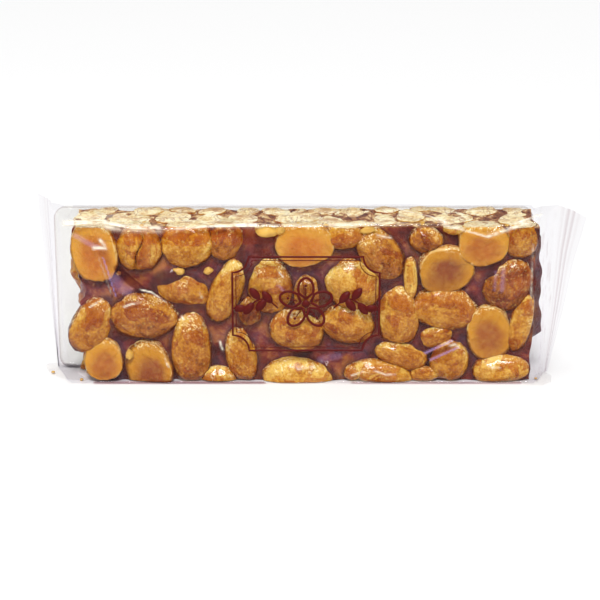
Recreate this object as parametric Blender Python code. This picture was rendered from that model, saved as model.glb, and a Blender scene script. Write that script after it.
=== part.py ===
"""A bar of hard nougat: whole toasted almonds set in dark caramel, sealed in clear film.

The bar stands on its long sawn edge against a shallow clear tray, and the film ends in a
crimped seam at each side. The front, with the whole almonds, faces -Y. The top and the
bottom are sawn, so the almonds there show cut faces. Sizes are in metres and +Z is up. The
origin is on the floor, under the middle of the pack.
"""

import math
import random

import bmesh
import bpy
from mathutils import Matrix, Vector

MM = 0.001

# The bar: its ends, its front and back at the almonds' crowns, and its sawn top.
BAR_LEFT = -0.0732
BAR_RIGHT = 0.0698
BAR_FRONT = -0.0072
BAR_BACK = 0.0103
BAR_TOP = 0.050
BAR_MIDDLE_Y = (BAR_FRONT + BAR_BACK) / 2

# The caramel lies behind the crowns of the almonds, and a little below the sawn ones.
CARAMEL_BEHIND = 0.0041
CARAMEL_BELOW = 0.0005
CARAMEL_FROM_ENDS = 0.0022
CARAMEL_EDGE = 0.0012

# A kernel is thinner than it is wide, and its pointed end is narrower than its blunt one.
ALMOND_THICKNESS = 0.0100
ALMOND_TAPER = 0.20
ALMOND_SEGMENTS = 12
ALMOND_RINGS = 8
SAW_SPREAD = 0.0002
SAW_BOTTOM = 0.0002

# The clear tray behind the bar, with a low lip all round.
TRAY_LEFT = -0.0796
TRAY_RIGHT = 0.0700
TRAY_TOP = 0.0527
TRAY_BACK = 0.0110
TRAY_SHEET = 0.0009
TRAY_LIP = 0.0030
TRAY_CORNER = 0.0035
TRAY_OFF_FLOOR = 0.0001

# The film past the ends of the bar. Each row is a station along the film, from inside the
# bar out to the edge of its seam: its lowest point, its highest point, and half of the
# film's thickness there.
FILM_ROWS = 10
FILM_BOW = 0.0012
LEFT_FILM = (
    ((-64, 2.6, 0.3), (-64, 2.6, 48.5), 3.6),
    ((-72, 2.8, 0.3), (-72, 2.8, 50.5), 4.2),
    ((-75, 3.2, 0.3), (-76, 3.2, 53.0), 3.8),
    ((-77.2, 4.6, 0.4), (-79.5, 4.8, 55.2), 1.8),
    ((-78.4, 5.6, 0.5), (-82, 5.8, 56.4), 0.5),
    ((-79.4, 6.2, 0.6), (-84, 6.6, 57.0), 0.35),
)
RIGHT_FILM = (
    ((61, 2.6, 0.3), (61, 2.6, 48.5), 3.6),
    ((69.2, 2.6, 0.3), (69.2, 2.6, 50.5), 4.2),
    ((72.2, 2.4, 0.4), (73, 2.4, 53.0), 3.2),
    ((74.2, 1.8, 0.8), (76.5, 1.8, 55.0), 0.6),
    ((75.2, 1.6, 0.9), (80.5, -2.4, 54.6), 0.35),
    ((76.2, 1.4, 1.0), (84, -6.2, 53.4), 0.35),
)

# The corners of the film that lie on the floor, as outlines seen from above, in mm.
FLAP_THICKNESS = 0.0006
FLAP_OFF_FLOOR = 0.0001
LEFT_FLAP = (
    (-70, 7), (-77, 10.5), (-82.6, 10.8), (-83.6, 7.2), (-81.6, 1.0), (-77, -4.4), (-69.5, -7.0),
)
RIGHT_FLAP = (
    (66.0, -4.0), (66.2, -7.8), (69.4, -10.2), (72.6, -11.0), (75.6, -8.4), (76.6, -2.6), (74.6, 2.4),
)

# The almonds of the front, placed by hand: x, z, half length, half width, the turn of the
# pointed end from +X in degrees, and how far the crown is sunk behind the front. In mm.
FRONT_ALMONDS = (
    (-65.4, 42.6, 10.3, 7.3, 96, 0.3),
    (-51.7, 43.3, 7.4, 7.2, 90, 0.0),
    (-36.8, 44.2, 8.2, 7.7, 10, 0.2),
    (-38.3, 29.7, 9.4, 5.9, -18, 1.4),
    (-50.8, 21.3, 10.7, 7.8, -6, 0.0),
    (-67.1, 18.0, 9.8, 6.2, 62, 0.6),
    (-63.5, 7.3, 6.8, 6.2, 90, 0.2),
    (-49.6, 4.7, 8.4, 7.2, 118, 0.0),
    (-36.5, 10.9, 11.4, 6.6, 88, 0.0),
    (-25.3, 45.2, 6.2, 5.5, 60, 0.6),
    (-25.2, 29.3, 10.7, 5.2, 68, 0.4),
    (-11.7, 30.9, 9.2, 7.1, 96, 0.5),
    (-1.0, 44.2, 9.3, 7.0, 0, 0.0),
    (-28.0, 0.7, 5.4, 5.0, 0, 0.6),
    (-20.8, 8.6, 9.0, 4.9, 102, 0.4),
    (-3.1, 0.9, 11.6, 6.3, 0, 0.0),
    (-3.4, 16.5, 8.8, 7.0, -22, 0.2),
    (-17.9, 22.6, 5.2, 4.0, 80, 1.7),
    (11.1, 46.6, 5.6, 4.2, 5, 0.4),
    (21.8, 41.0, 9.6, 6.4, 124, 0.2),
    (14.0, 31.2, 9.0, 8.1, 150, 0.0),
    (12.0, 18.7, 8.6, 6.5, 170, 0.2),
    (0.0, 28.0, 6.6, 5.2, 90, 1.6),
    (28.0, 21.3, 9.4, 6.5, 94, 0.0),
    (31.5, 33.5, 6.4, 2.1, 92, 1.3),
    (29.1, 8.3, 8.7, 4.3, 164, 0.7),
    (23.0, 2.2, 10.2, 4.4, 168, 0.2),
    (14.0, 2.7, 2.9, 2.7, 0, 1.3),
    (42.4, 36.3, 8.4, 7.7, 12, 0.0),
    (42.1, 23.5, 10.6, 6.9, 172, 0.2),
    (53.6, 44.3, 7.9, 6.9, 0, 0.0),
    (64.6, 45.2, 5.6, 4.6, 84, 0.4),
    (61.1, 31.5, 8.6, 7.4, 62, 0.8),
    (56.1, 16.1, 8.6, 7.1, 98, 0.0),
    (66.0, 19.0, 9.6, 3.3, 78, 1.0),
    (60.4, 3.5, 8.9, 5.1, 4, 0.2),
    (44.1, 6.7, 6.8, 6.2, 82, 0.2),
    (39.8, 14.5, 5.2, 3.6, 20, 1.5),
    (36.1, 45.2, 5.0, 4.1, 160, 0.8),
    (36.4, 2.2, 4.4, 2.4, 0, 1.1),
)

# The second layer of almonds shows only at the sawn top and at the ends: x, y, z, half
# length, half width, and the turn of the pointed end from +X. In mm.
REAR_ALMONDS = (
    (-66.4, 5.2, 43.5, 8.6, 5.6, 84),
    (-52.0, 5.8, 45.0, 8.4, 6.4, 20),
    (-38.6, 4.6, 45.4, 7.2, 6.0, -10),
    (-29.4, 2.8, 45.8, 6.0, 4.8, 30),
    (-19.0, 5.2, 45.0, 6.8, 4.8, 60),
    (-4.0, 5.2, 44.8, 9.2, 6.6, -4),
    (11.6, 5.8, 45.6, 7.8, 5.6, 10),
    (29.8, 4.6, 45.2, 6.6, 5.6, 96),
    (42.8, 4.8, 44.4, 9.4, 6.6, 8),
    (55.6, 6.0, 45.2, 6.8, 4.8, 14),
    (63.9, 5.0, 44.6, 7.2, 5.2, 92),
    (-67.4, 5.4, 27.4, 8.4, 5.4, 70),
    (-67.0, 5.4, 10.0, 8.6, 5.6, 110),
    (64.0, 5.2, 28.2, 8.8, 5.2, 86),
    (63.6, 5.2, 10.2, 8.4, 5.4, 100),
)

SHARP_FROM = math.radians(35)

# Colour, roughness and opacity of each material.
FINISHES = {
    "caramel": ((0.165, 0.038, 0.012, 1.0), 0.22, 1.0),
    "toasted_almond": ((0.560, 0.270, 0.082, 1.0), 0.34, 1.0),
    "sawn_almond": ((0.880, 0.700, 0.440, 1.0), 0.62, 1.0),
    "clear_film": ((0.900, 0.890, 0.880, 1.0), 0.12, 0.4),
}


def clear_scene():
    for obj in list(bpy.data.objects):
        bpy.data.objects.remove(obj, do_unlink=True)


def make_material(name):
    colour, roughness, opacity = FINISHES[name]
    material = bpy.data.materials.new(name)
    material.use_nodes = True
    material.diffuse_color = colour
    shader = material.node_tree.nodes["Principled BSDF"]
    shader.inputs["Base Color"].default_value = colour
    shader.inputs["Roughness"].default_value = roughness
    shader.inputs["Metallic"].default_value = 0.0
    shader.inputs["Alpha"].default_value = opacity
    return material


def new_object(bm, name, collection, *materials):
    """Turns the bmesh into an object of this name, with its faces pointing out."""
    bmesh.ops.recalc_face_normals(bm, faces=bm.faces)
    mesh = bpy.data.meshes.new(name)
    bm.to_mesh(mesh)
    bm.free()
    for material in materials:
        mesh.materials.append(material)
    obj = bpy.data.objects.new(name, mesh)
    collection.objects.link(obj)
    return obj


def box_mesh(low, high):
    """A box between its lowest and highest corners."""
    low = Vector(low)
    high = Vector(high)
    bm = bmesh.new()
    size = high - low
    place = Matrix.Translation((low + high) / 2) @ Matrix.Diagonal((*size, 1.0))
    bmesh.ops.create_cube(bm, size=1.0, matrix=place)
    return bm


def saw(bm, height, direction):
    """Cuts everything past this height off, and closes the cut with faces of the sawn material."""
    cut = bmesh.ops.bisect_plane(
        bm,
        geom=bm.verts[:] + bm.edges[:] + bm.faces[:],
        plane_co=(0, 0, height),
        plane_no=(0, 0, direction),
        clear_outer=True,
    )
    rim = [item for item in cut["geom_cut"] if isinstance(item, bmesh.types.BMEdge)]
    if rim:
        closed = bmesh.ops.contextual_create(bm, geom=rim)
        for face in closed["faces"]:
            face.material_index = 1


def make_almond(name, place, half_length, half_width, turn, chance, collection, materials):
    """A kernel with its pointed end turned from +X, sawn where it passes the bar's top or bottom."""
    bm = bmesh.new()
    bmesh.ops.create_uvsphere(
        bm, u_segments=ALMOND_SEGMENTS, v_segments=ALMOND_RINGS, radius=1.0
    )
    for vertex in bm.verts:
        narrowing = 1 - ALMOND_TAPER * vertex.co.z * (1 + vertex.co.z) / 2
        vertex.co.x *= narrowing
        vertex.co.y *= narrowing
    thickness = min(ALMOND_THICKNESS / 2, half_width * 0.95)
    bm.transform(Matrix.Diagonal((half_width, thickness, half_length, 1.0)))
    # The pole of the sphere is the pointed end, and points up before the turn.
    bm.transform(Matrix.Rotation(math.radians(90 - turn), 4, "Y"))
    bm.transform(Matrix.Translation(place))
    saw(bm, BAR_TOP - SAW_SPREAD * chance.random(), 1)
    saw(bm, SAW_BOTTOM + SAW_SPREAD * chance.random(), -1)
    return new_object(bm, name, collection, *materials)


def make_almonds(collection, materials):
    chance = random.Random(12)
    for number, row in enumerate(FRONT_ALMONDS, 1):
        x, z, half_length, half_width, turn, sunk = row
        thickness = min(ALMOND_THICKNESS / 2, half_width * MM * 0.95)
        place = Vector((x * MM, BAR_FRONT + thickness + sunk * MM, z * MM))
        make_almond(
            f"front_almond_{number}", place, half_length * MM, half_width * MM, turn,
            chance, collection, materials,
        )
    for number, row in enumerate(REAR_ALMONDS, 1):
        x, y, z, half_length, half_width, turn = row
        make_almond(
            f"rear_almond_{number}", Vector((x, y, z)) * MM, half_length * MM,
            half_width * MM, turn, chance, collection, materials,
        )


def make_tray(collection, material):
    """A rounded panel against the back of the bar, hollowed from the front so that a lip is left."""
    low = (TRAY_LEFT, TRAY_BACK - TRAY_LIP, TRAY_OFF_FLOOR)
    high = (TRAY_RIGHT, TRAY_BACK, TRAY_TOP)
    bm = box_mesh(low, high)
    corners = [e for e in bm.edges if abs(e.verts[0].co.y - e.verts[1].co.y) > TRAY_LIP / 2]
    bmesh.ops.bevel(
        bm, geom=corners, offset=TRAY_CORNER, offset_type="OFFSET", affect="EDGES",
        segments=5, profile=0.5, material=-1,
    )
    bm.faces.ensure_lookup_table()
    front = min(bm.faces, key=lambda face: face.calc_center_median().y)
    bmesh.ops.inset_region(bm, faces=[front], thickness=TRAY_SHEET, use_even_offset=True)
    bmesh.ops.translate(bm, verts=front.verts[:], vec=(0, TRAY_LIP - TRAY_SHEET, 0))
    return new_object(bm, "tray", collection, material)


def film_ring(lowest, highest, half, side):
    """The loop of points round the film at one station, up its front and down its back."""
    front = []
    back = []
    for row in range(FILM_ROWS + 1):
        share = row / FILM_ROWS
        middle = Vector(lowest).lerp(Vector(highest), share) * MM
        middle.x -= side * FILM_BOW * math.sin(math.pi * share)
        # The film rounds off towards the top and the bottom of the bar.
        round_off = 1 - 0.35 * abs(2 * share - 1) ** 6
        depth = Vector((0, half * MM * round_off, 0))
        front.append(middle - depth)
        back.append(middle + depth)
    return front + back[::-1]


def make_film_end(name, stations, side, collection, material):
    """The film from the end of the bar to its seam, as a loft between unlike sections."""
    bm = bmesh.new()
    rings = []
    for lowest, highest, half in stations:
        points = film_ring(lowest, highest, half, side)
        rings.append([bm.verts.new(point) for point in points])
    count = len(rings[0])
    for inner, outer in zip(rings, rings[1:]):
        for i in range(count):
            j = (i + 1) % count
            bm.faces.new((inner[i], inner[j], outer[j], outer[i]))
    for ring in (rings[0], rings[-1]):
        # Each end is closed by a strip between its front and its back.
        for i in range(FILM_ROWS):
            bm.faces.new((ring[i], ring[i + 1], ring[count - 2 - i], ring[count - 1 - i]))
    return new_object(bm, name, collection, material)


def make_flap(name, outline, collection, material):
    """A corner of the film, flat on the floor."""
    bm = bmesh.new()
    corners = [bm.verts.new((x * MM, y * MM, FLAP_OFF_FLOOR)) for x, y in outline]
    sheet = bm.faces.new(corners)
    raised = bmesh.ops.extrude_face_region(bm, geom=[sheet])
    tops = [item for item in raised["geom"] if isinstance(item, bmesh.types.BMVert)]
    bmesh.ops.translate(bm, verts=tops, vec=(0, 0, FLAP_THICKNESS))
    return new_object(bm, name, collection, material)


def make_caramel(collection, material):
    """The caramel that holds the almonds, whose flat bottom carries the bar."""
    low = (BAR_LEFT + CARAMEL_FROM_ENDS, BAR_FRONT + CARAMEL_BEHIND, 0)
    high = (BAR_RIGHT - CARAMEL_FROM_ENDS, BAR_BACK, BAR_TOP - CARAMEL_BELOW)
    bm = box_mesh(low, high)
    upright = [e for e in bm.edges if abs(e.verts[0].co.z - e.verts[1].co.z) > BAR_TOP / 2]
    bmesh.ops.bevel(
        bm, geom=upright, offset=CARAMEL_EDGE, offset_type="OFFSET", affect="EDGES",
        segments=2, profile=0.5, material=-1,
    )
    return new_object(bm, "nougat_film_pack", collection, material)


def join_all(body, pieces):
    """Makes the body and every piece in the collection one solid, and removes the pieces."""
    union = body.modifiers.new("join", "BOOLEAN")
    union.operation = "UNION"
    union.operand_type = "COLLECTION"
    union.collection = pieces
    union.solver = "EXACT"
    union.material_mode = "TRANSFER"
    bpy.context.view_layer.update()
    evaluated = body.evaluated_get(bpy.context.evaluated_depsgraph_get())
    joined = bpy.data.meshes.new_from_object(evaluated)
    body.modifiers.remove(union)
    body.data = joined
    for piece in list(pieces.objects):
        bpy.data.objects.remove(piece, do_unlink=True)
    bpy.data.collections.remove(pieces)
    joined.shade_smooth()
    joined.set_sharp_from_angle(angle=SHARP_FROM)
    for face in joined.polygons:
        # The caramel's own faces are flat, so they don't shade towards the almonds.
        face.use_smooth = joined.materials[face.material_index].name != "caramel"


def main():
    clear_scene()
    pack = bpy.data.collections.new("nougat_bar")
    pieces = bpy.data.collections.new("pieces_to_join")
    bpy.context.scene.collection.children.link(pack)
    bpy.context.scene.collection.children.link(pieces)
    caramel, toasted, sawn, film = [make_material(name) for name in FINISHES]
    body = make_caramel(pack, caramel)
    make_almonds(pieces, (toasted, sawn))
    make_tray(pieces, film)
    make_film_end("left_film", LEFT_FILM, -1, pieces, film)
    make_film_end("right_film", RIGHT_FILM, 1, pieces, film)
    make_flap("left_flap", LEFT_FLAP, pieces, film)
    make_flap("right_flap", RIGHT_FLAP, pieces, film)
    join_all(body, pieces)


main()
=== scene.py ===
"""Dresses the almond nougat bar: caramel, whole and sawn almonds, clear tray, film and print.

Sizes are in metres, +Z is up, and the bar's front faces -Y.
"""

import math
import random
from typing import NamedTuple

import bmesh
import bpy
import numpy as np
from mathutils import Euler, Matrix, Vector, noise


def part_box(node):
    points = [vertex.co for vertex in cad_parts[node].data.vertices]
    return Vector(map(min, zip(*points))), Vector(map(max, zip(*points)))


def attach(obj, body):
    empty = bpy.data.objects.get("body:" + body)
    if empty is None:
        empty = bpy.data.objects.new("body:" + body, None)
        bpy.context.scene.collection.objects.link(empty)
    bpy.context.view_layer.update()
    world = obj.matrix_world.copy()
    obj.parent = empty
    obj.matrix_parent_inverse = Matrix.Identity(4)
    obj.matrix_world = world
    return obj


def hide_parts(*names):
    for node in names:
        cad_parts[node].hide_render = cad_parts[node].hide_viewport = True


bl_info = {
    "name": "Almond nougat bar in film",
    "version": (1, 0, 0),
    "blender": (4, 5, 0),
    "location": "View3D > Sidebar > Nougat",
    "description": "Makes a bar of almonds in caramel, with its tray, film and print",
    "category": "Object",
}

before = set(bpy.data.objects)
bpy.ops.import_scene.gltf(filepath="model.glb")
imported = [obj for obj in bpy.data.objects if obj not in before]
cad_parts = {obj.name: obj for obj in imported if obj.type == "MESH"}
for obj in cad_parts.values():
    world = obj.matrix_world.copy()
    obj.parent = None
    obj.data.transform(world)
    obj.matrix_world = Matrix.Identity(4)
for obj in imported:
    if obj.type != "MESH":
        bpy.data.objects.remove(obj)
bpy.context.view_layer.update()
NODE = "nougat_film_pack"
BODY = "root"
MM = 0.001

# Where the bar lies in the pack: the distances from the pack's box to the bar's faces.
PACK_LOW, PACK_HIGH = (Vector(corner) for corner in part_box(NODE))
BAR_LEFT = PACK_LOW.x + 0.0108
BAR_RIGHT = PACK_HIGH.x - 0.0142
BAR_FRONT = PACK_LOW.y + 0.0038
BAR_BACK = PACK_HIGH.y - 0.0007
BAR_TOP = PACK_HIGH.z - 0.0070


class Kernel(NamedTuple):
    """An almond of the front: its middle, half sizes, turn and finish, in mm and degrees."""

    x: float
    z: float
    half_length: float
    half_width: float
    turn: float
    sunk: float
    tint: float = 0.0
    flat: float = 0.0
    lean: tuple = (0.0, 0.0)
    tone: float = 0.0
    split: bool = False


FRONT_KERNELS = (
    Kernel(-65.4, 42.6, 10.3, 7.3, 96, 0.3, 0.2, 1.7, (-0.12, -0.05), 0.9),
    Kernel(-51.7, 43.3, 7.6, 7.3, 90, 0.0, 0.25, split=True),
    Kernel(-36.8, 44.2, 8.2, 7.8, 10, 0.2, 0.25),
    Kernel(-38.3, 29.7, 9.4, 5.9, -18, 1.4, 0.0),
    Kernel(-50.8, 21.3, 10.7, 7.8, -6, 0.0, -0.3),
    Kernel(-67.1, 18.0, 9.8, 6.2, 62, 0.6, -0.1),
    Kernel(-63.5, 7.3, 6.8, 6.2, 90, 0.2, 0.1, 1.8, (-0.05, 0.1), 0.45),
    Kernel(-49.6, 4.7, 8.6, 7.4, 108, 0.0, -0.1, 2.2, (-0.2, 0.1), 0.05),
    Kernel(-36.5, 10.9, 11.4, 6.6, 88, 0.0, -0.1),
    Kernel(-25.3, 45.2, 6.4, 5.7, 60, 1.0, -0.15),
    Kernel(-25.2, 29.3, 10.9, 5.3, 68, 0.4, 0.1),
    Kernel(-11.7, 30.9, 9.3, 7.1, 96, 0.5, 0.05),
    Kernel(-1.0, 44.2, 9.3, 7.1, 0, 0.0, 0.45, 1.7, (0.0, 0.05), 1.0),
    Kernel(-28.0, 0.5, 5.6, 4.4, 4, 1.1, 0.15),
    Kernel(-20.8, 8.6, 9.0, 5.1, 102, 0.4, 0.0),
    Kernel(-3.1, 0.9, 11.6, 6.5, 0, 0.0, 0.4),
    Kernel(-3.4, 16.5, 8.8, 7.0, -22, 0.2, -0.1),
    Kernel(-17.9, 22.6, 5.2, 4.0, 80, 1.9, -0.4),
    Kernel(11.1, 46.6, 6.0, 4.4, 5, 0.4, 0.1),
    Kernel(21.8, 41.0, 9.8, 6.5, 124, 0.2, -0.3),
    Kernel(14.0, 31.2, 9.2, 8.2, 150, 0.0, 0.25),
    Kernel(12.0, 18.7, 8.8, 6.7, 170, 0.2, 0.0),
    Kernel(0.0, 28.0, 6.6, 5.4, 90, 1.6, -0.35),
    Kernel(28.0, 21.3, 9.5, 6.6, 94, 0.0, 0.1),
    Kernel(31.5, 33.5, 6.6, 2.2, 92, 1.1, 0.4),
    Kernel(29.1, 8.3, 8.9, 4.6, 164, 0.7, -0.1),
    Kernel(23.0, 2.2, 10.2, 4.6, 168, 0.2, 0.35),
    Kernel(14.0, 2.7, 2.9, 2.7, 0, 1.3, 0.1),
    Kernel(42.4, 36.3, 8.5, 7.8, 12, 0.0, 0.0, 2.0, (0.05, -0.12), 0.0),
    Kernel(42.1, 23.5, 10.8, 7.0, 172, 0.2, 0.05),
    Kernel(53.6, 44.3, 8.0, 7.0, 0, 0.0, 0.35, 1.8, (0.05, 0.05), 0.6),
    Kernel(65.1, 45.8, 6.4, 5.4, 84, 0.5, -0.12),
    Kernel(61.8, 31.0, 9.4, 7.6, 62, 0.8, -0.5),
    Kernel(56.1, 16.1, 8.8, 7.2, 98, 0.0, 0.25, 2.6, (0.06, -0.06), 0.25),
    Kernel(66.0, 19.0, 9.8, 3.6, 78, 1.0, 0.1),
    Kernel(60.4, 3.5, 9.0, 5.3, 4, 0.2, 0.3),
    Kernel(44.1, 6.7, 6.9, 6.4, 82, 0.2, 0.0),
    Kernel(39.8, 14.5, 5.4, 3.8, 20, 1.5, -0.1),
    Kernel(36.1, 45.2, 5.4, 4.5, 160, 0.8, -0.5),
    Kernel(36.4, 2.2, 4.6, 2.6, 0, 1.1, 0.0),
)

# Almonds of the second layer that reach the ends: x, y, z, half length, half width, turn.
END_KERNELS = (
    (-65.6, 5.2, 43.5, 8.6, 5.6, 84),
    (-65.4, 5.4, 27.4, 8.0, 5.4, 84),
    (-62.2, 5.4, 10.0, 8.0, 5.4, 94),
    (63.9, 5.0, 44.0, 7.2, 5.4, 92),
    (64.2, 5.2, 28.2, 8.8, 5.4, 86),
    (63.8, 5.2, 10.2, 8.4, 5.6, 100),
)

# Sawn almonds of the top behind the first row: x, y, half size along X, half size along Y,
# and the turn of the longer one from +X.
TOP_SECTIONS = (
    (-67.0, 3.6, 5.0, 4.6, 10),
    (-62.6, 8.0, 3.4, 2.0, 20),
    (-55.0, 2.6, 6.6, 4.2, -8),
    (-50.0, 7.9, 4.8, 2.4, 5),
    (-41.5, 3.4, 5.8, 3.6, 12),
    (-39.0, 8.4, 4.2, 1.7, -6),
    (-30.2, 1.4, 4.6, 4.2, 30),
    (-29.6, 7.6, 4.4, 2.2, 8),
    (-20.0, 2.6, 4.2, 4.6, 60),
    (-18.6, 8.3, 3.6, 1.8, 0),
    (-12.6, -4.2, 3.6, 2.2, 15),
    (-9.8, 7.2, 4.4, 2.4, -10),
    (-3.4, 3.0, 7.2, 3.6, 6),
    (7.0, 0.6, 3.6, 4.6, 70),
    (4.6, 8.0, 4.6, 2.0, 4),
    (13.6, 7.2, 5.4, 3.0, 12),
    (16.6, -1.4, 3.0, 4.2, 80),
    (23.6, 1.6, 3.4, 3.8, 40),
    (24.4, 8.2, 3.8, 1.8, 0),
    (31.6, 4.4, 4.2, 4.2, 15),
    (35.0, 9.0, 3.2, 1.3, 0),
    (43.2, 3.4, 7.4, 4.0, 4),
    (44.6, -4.6, 3.6, 2.6, 0),
    (41.6, 8.9, 4.6, 1.5, -5),
    (53.8, 7.6, 5.0, 2.6, 12),
    (62.6, 2.0, 4.4, 3.4, 25),
    (64.2, 7.6, 4.6, 2.6, -8),
)


def solid_box(bm, low, high):
    """Adds a box between two corners."""
    low = Vector(low)
    high = Vector(high)
    place = Matrix.Translation((low + high) / 2) @ Matrix.Diagonal((*(high - low), 1.0))
    return bmesh.ops.create_cube(bm, size=1.0, matrix=place)


def split_along(bm, axis, cuts):
    """Cuts every edge that runs along this axis into cuts + 1, with rows of faces between."""
    across = [0, 1, 2]
    across.remove(axis)
    edges = []
    for edge in bm.edges:
        run = edge.verts[1].co - edge.verts[0].co
        if abs(run[axis]) > max(abs(run[i]) for i in across):
            edges.append(edge)
    bmesh.ops.subdivide_edges(bm, edges=edges, cuts=cuts, use_grid_fill=True)


def mesh_of(bm, name):
    """Writes the bmesh into a new mesh and frees it."""
    mesh = bpy.data.meshes.new(name)
    bm.to_mesh(mesh)
    bm.free()
    return mesh


def add_object(name, data):
    made = bpy.data.objects.new(name, data)
    bpy.context.scene.collection.objects.link(made)
    return made


def finish_piece(bm, name, materials, sharp=math.radians(50), recalculate=True):
    """Turns the bmesh into a piece that rides on the pack and stands in for its solid."""
    if recalculate:
        bmesh.ops.recalc_face_normals(bm, faces=bm.faces)
    mesh = mesh_of(bm, name)
    for material in materials:
        mesh.materials.append(material)
    mesh.shade_smooth()
    mesh.set_sharp_from_angle(angle=sharp)
    piece = add_object(name, mesh)
    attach(piece, BODY)
    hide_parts(NODE)
    return piece


def limited(value):
    """A number, kept from 0 to 1."""
    return min(1.0, max(0.0, value))


def smooth_step(value):
    value = np.clip(value, 0.0, 1.0)
    return value * value * (3.0 - 2.0 * value)


def waves(x, z, seed, lengths, heights):
    """Smooth uneven waves over a surface: a sum of sine waves in directions drawn at random."""
    chance = random.Random(seed)
    total = np.zeros_like(x)
    for length, height in zip(lengths, heights):
        for _ in range(4):
            angle = chance.uniform(0, math.pi)
            phase = chance.uniform(0, 2 * math.pi)
            run = x * math.cos(angle) + z * math.sin(angle)
            total += height * 0.5 * np.sin(2 * math.pi * run / length + phase)
    return total


class Wire:
    """A value in a shader. An expression on wires and numbers adds its Math nodes."""

    def __init__(self, shader, socket):
        self.shader = shader
        self.socket = socket

    def math(self, operation, *values):
        links = dict(enumerate(values))
        return self.shader.node("ShaderNodeMath", {"operation": operation}, links)

    def __add__(self, other):
        return self.math("ADD", self, other)

    def __radd__(self, other):
        return self.math("ADD", other, self)

    def __sub__(self, other):
        return self.math("SUBTRACT", self, other)

    def __rsub__(self, other):
        return self.math("SUBTRACT", other, self)

    def __mul__(self, other):
        return self.math("MULTIPLY", self, other)

    def __rmul__(self, other):
        return self.math("MULTIPLY", other, self)

    def __pow__(self, other):
        return self.math("POWER", self, other)

    def __rpow__(self, other):
        return self.math("POWER", other, self)

    def __abs__(self):
        return self.math("ABSOLUTE", self)

    def clamped(self):
        settings = {"operation": "ADD", "use_clamp": True}
        return self.shader.node("ShaderNodeMath", settings, {0: self, 1: 0.0})


class Shader:
    """One material and its nodes."""

    def __init__(self, name):
        self.material = bpy.data.materials.new(name)
        self.material.use_nodes = True
        self.tree = self.material.node_tree
        self.tree.nodes.clear()
        self.place = self.node("ShaderNodeTexCoord", output="Object")

    def node(self, kind, settings=None, links=None, output=0):
        """Adds a node, sets it up, gives its sockets values or links, and returns one output."""
        node = self.tree.nodes.new(kind)
        for name, value in (settings or {}).items():
            if name == "stops":
                self.set_stops(node.color_ramp, value)
            else:
                setattr(node, name, value)
        for key, value in (links or {}).items():
            if isinstance(value, Wire):
                self.tree.links.new(value.socket, node.inputs[key])
            else:
                node.inputs[key].default_value = value
        if not node.outputs:
            return None
        return Wire(self, node.outputs[output])

    @staticmethod
    def set_stops(ramp, stops):
        while len(ramp.elements) < len(stops):
            ramp.elements.new(0.5)
        for element, (position, colour) in zip(ramp.elements, stops):
            element.position = position
            element.color = (*colour, 1.0)

    def noise(self, scale, detail=2.0, roughness=0.5, distortion=0.0, place=None):
        links = {
            "Vector": place or self.place, "Scale": scale, "Detail": detail,
            "Roughness": roughness, "Distortion": distortion,
        }
        return self.node("ShaderNodeTexNoise", None, links)

    def attribute(self, name):
        return self.node("ShaderNodeAttribute", {"attribute_name": name}, output="Fac")

    def pressed(self):
        """1 along a strip at the top of the front's left part, under the film's ridge, where a darker
        and richer colour is painted as shade.
        """
        x, y, z = [
            self.node("ShaderNodeSeparateXYZ", None, {0: self.place}, output=i) for i in range(3)
        ]
        low = self.between(z + x * 0.012, 0.0437, 0.0441)
        return low * self.between(x, 0.018, 0.002) * self.between(y, 0.002, -0.002)

    def ramp(self, value, stops):
        return self.node("ShaderNodeValToRGB", {"stops": stops}, {"Fac": value})

    def between(self, value, low, high):
        """0 below low and 1 above high, with a smooth step between."""
        links = {"Value": value, "From Min": low, "From Max": high}
        settings = {"interpolation_type": "SMOOTHSTEP"}
        return self.node("ShaderNodeMapRange", settings, links)

    def mix_colour(self, share, first, second, blend="MIX"):
        first, second = [
            colour if isinstance(colour, Wire) else (*colour, 1.0) for colour in (first, second)
        ]
        settings = {"data_type": "RGBA", "blend_type": blend}
        return self.node("ShaderNodeMix", settings, {0: share, 6: first, 7: second}, output=2)

    def bump(self, height, distance, strength, **under):
        links = {"Height": height, "Distance": distance, "Strength": strength, **under}
        return self.node("ShaderNodeBump", None, links)

    def principled(self, **links):
        sockets = {
            name.replace("_", " ").title().replace("Ior", "IOR"): value
            for name, value in links.items()
        }
        return self.node("ShaderNodeBsdfPrincipled", None, sockets)

    def simple(self, kind, colour, **links):
        """A plain shader of one colour, such as diffuse or transparent."""
        return self.node(f"ShaderNodeBsdf{kind}", None, {"Color": (*colour, 1.0), **links})

    def mix_shader(self, share, first, second):
        return self.node("ShaderNodeMixShader", None, {0: share, 1: first, 2: second})

    def finish(self, surface):
        self.node("ShaderNodeOutputMaterial", None, {"Surface": surface})
        return self.material


# Colours of the finishes that no setting changes.
FOAM_GOLD = (0.52, 0.26, 0.09)
PAINTED_SHADOW_BROWN = (0.050, 0.008, 0.006)
PAINTED_STRIP_RED = (0.200, 0.022, 0.006)
SAWN_CARAMEL = (
    (0.22, (0.10, 0.022, 0.010)),
    (0.46, (0.28, 0.10, 0.04)),
    (0.66, (0.60, 0.36, 0.15)),
    (0.88, (0.90, 0.74, 0.42)),
)
GLAZE = (0.70, 0.38, 0.06)
PAINTED_STRIP_GLAZE = (0.93, 0.70, 0.16)
GLINT_CREAM = (0.97, 0.80, 0.40)
BLOTCH_TAN = (0.78, 0.52, 0.26)
RING_GOLD = (0.86, 0.62, 0.24)
VEIN_BROWN = (0.36, 0.14, 0.05)
SMEAR_BROWN = (0.46, 0.21, 0.08)
CRIMSON_SHADE = (0.30, 0.08, 0.11)
MAUVE_REFLECTION_COLOUR = (0.46, 0.30, 0.58)
SHINE = (0.93, 0.89, 1.0)


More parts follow.
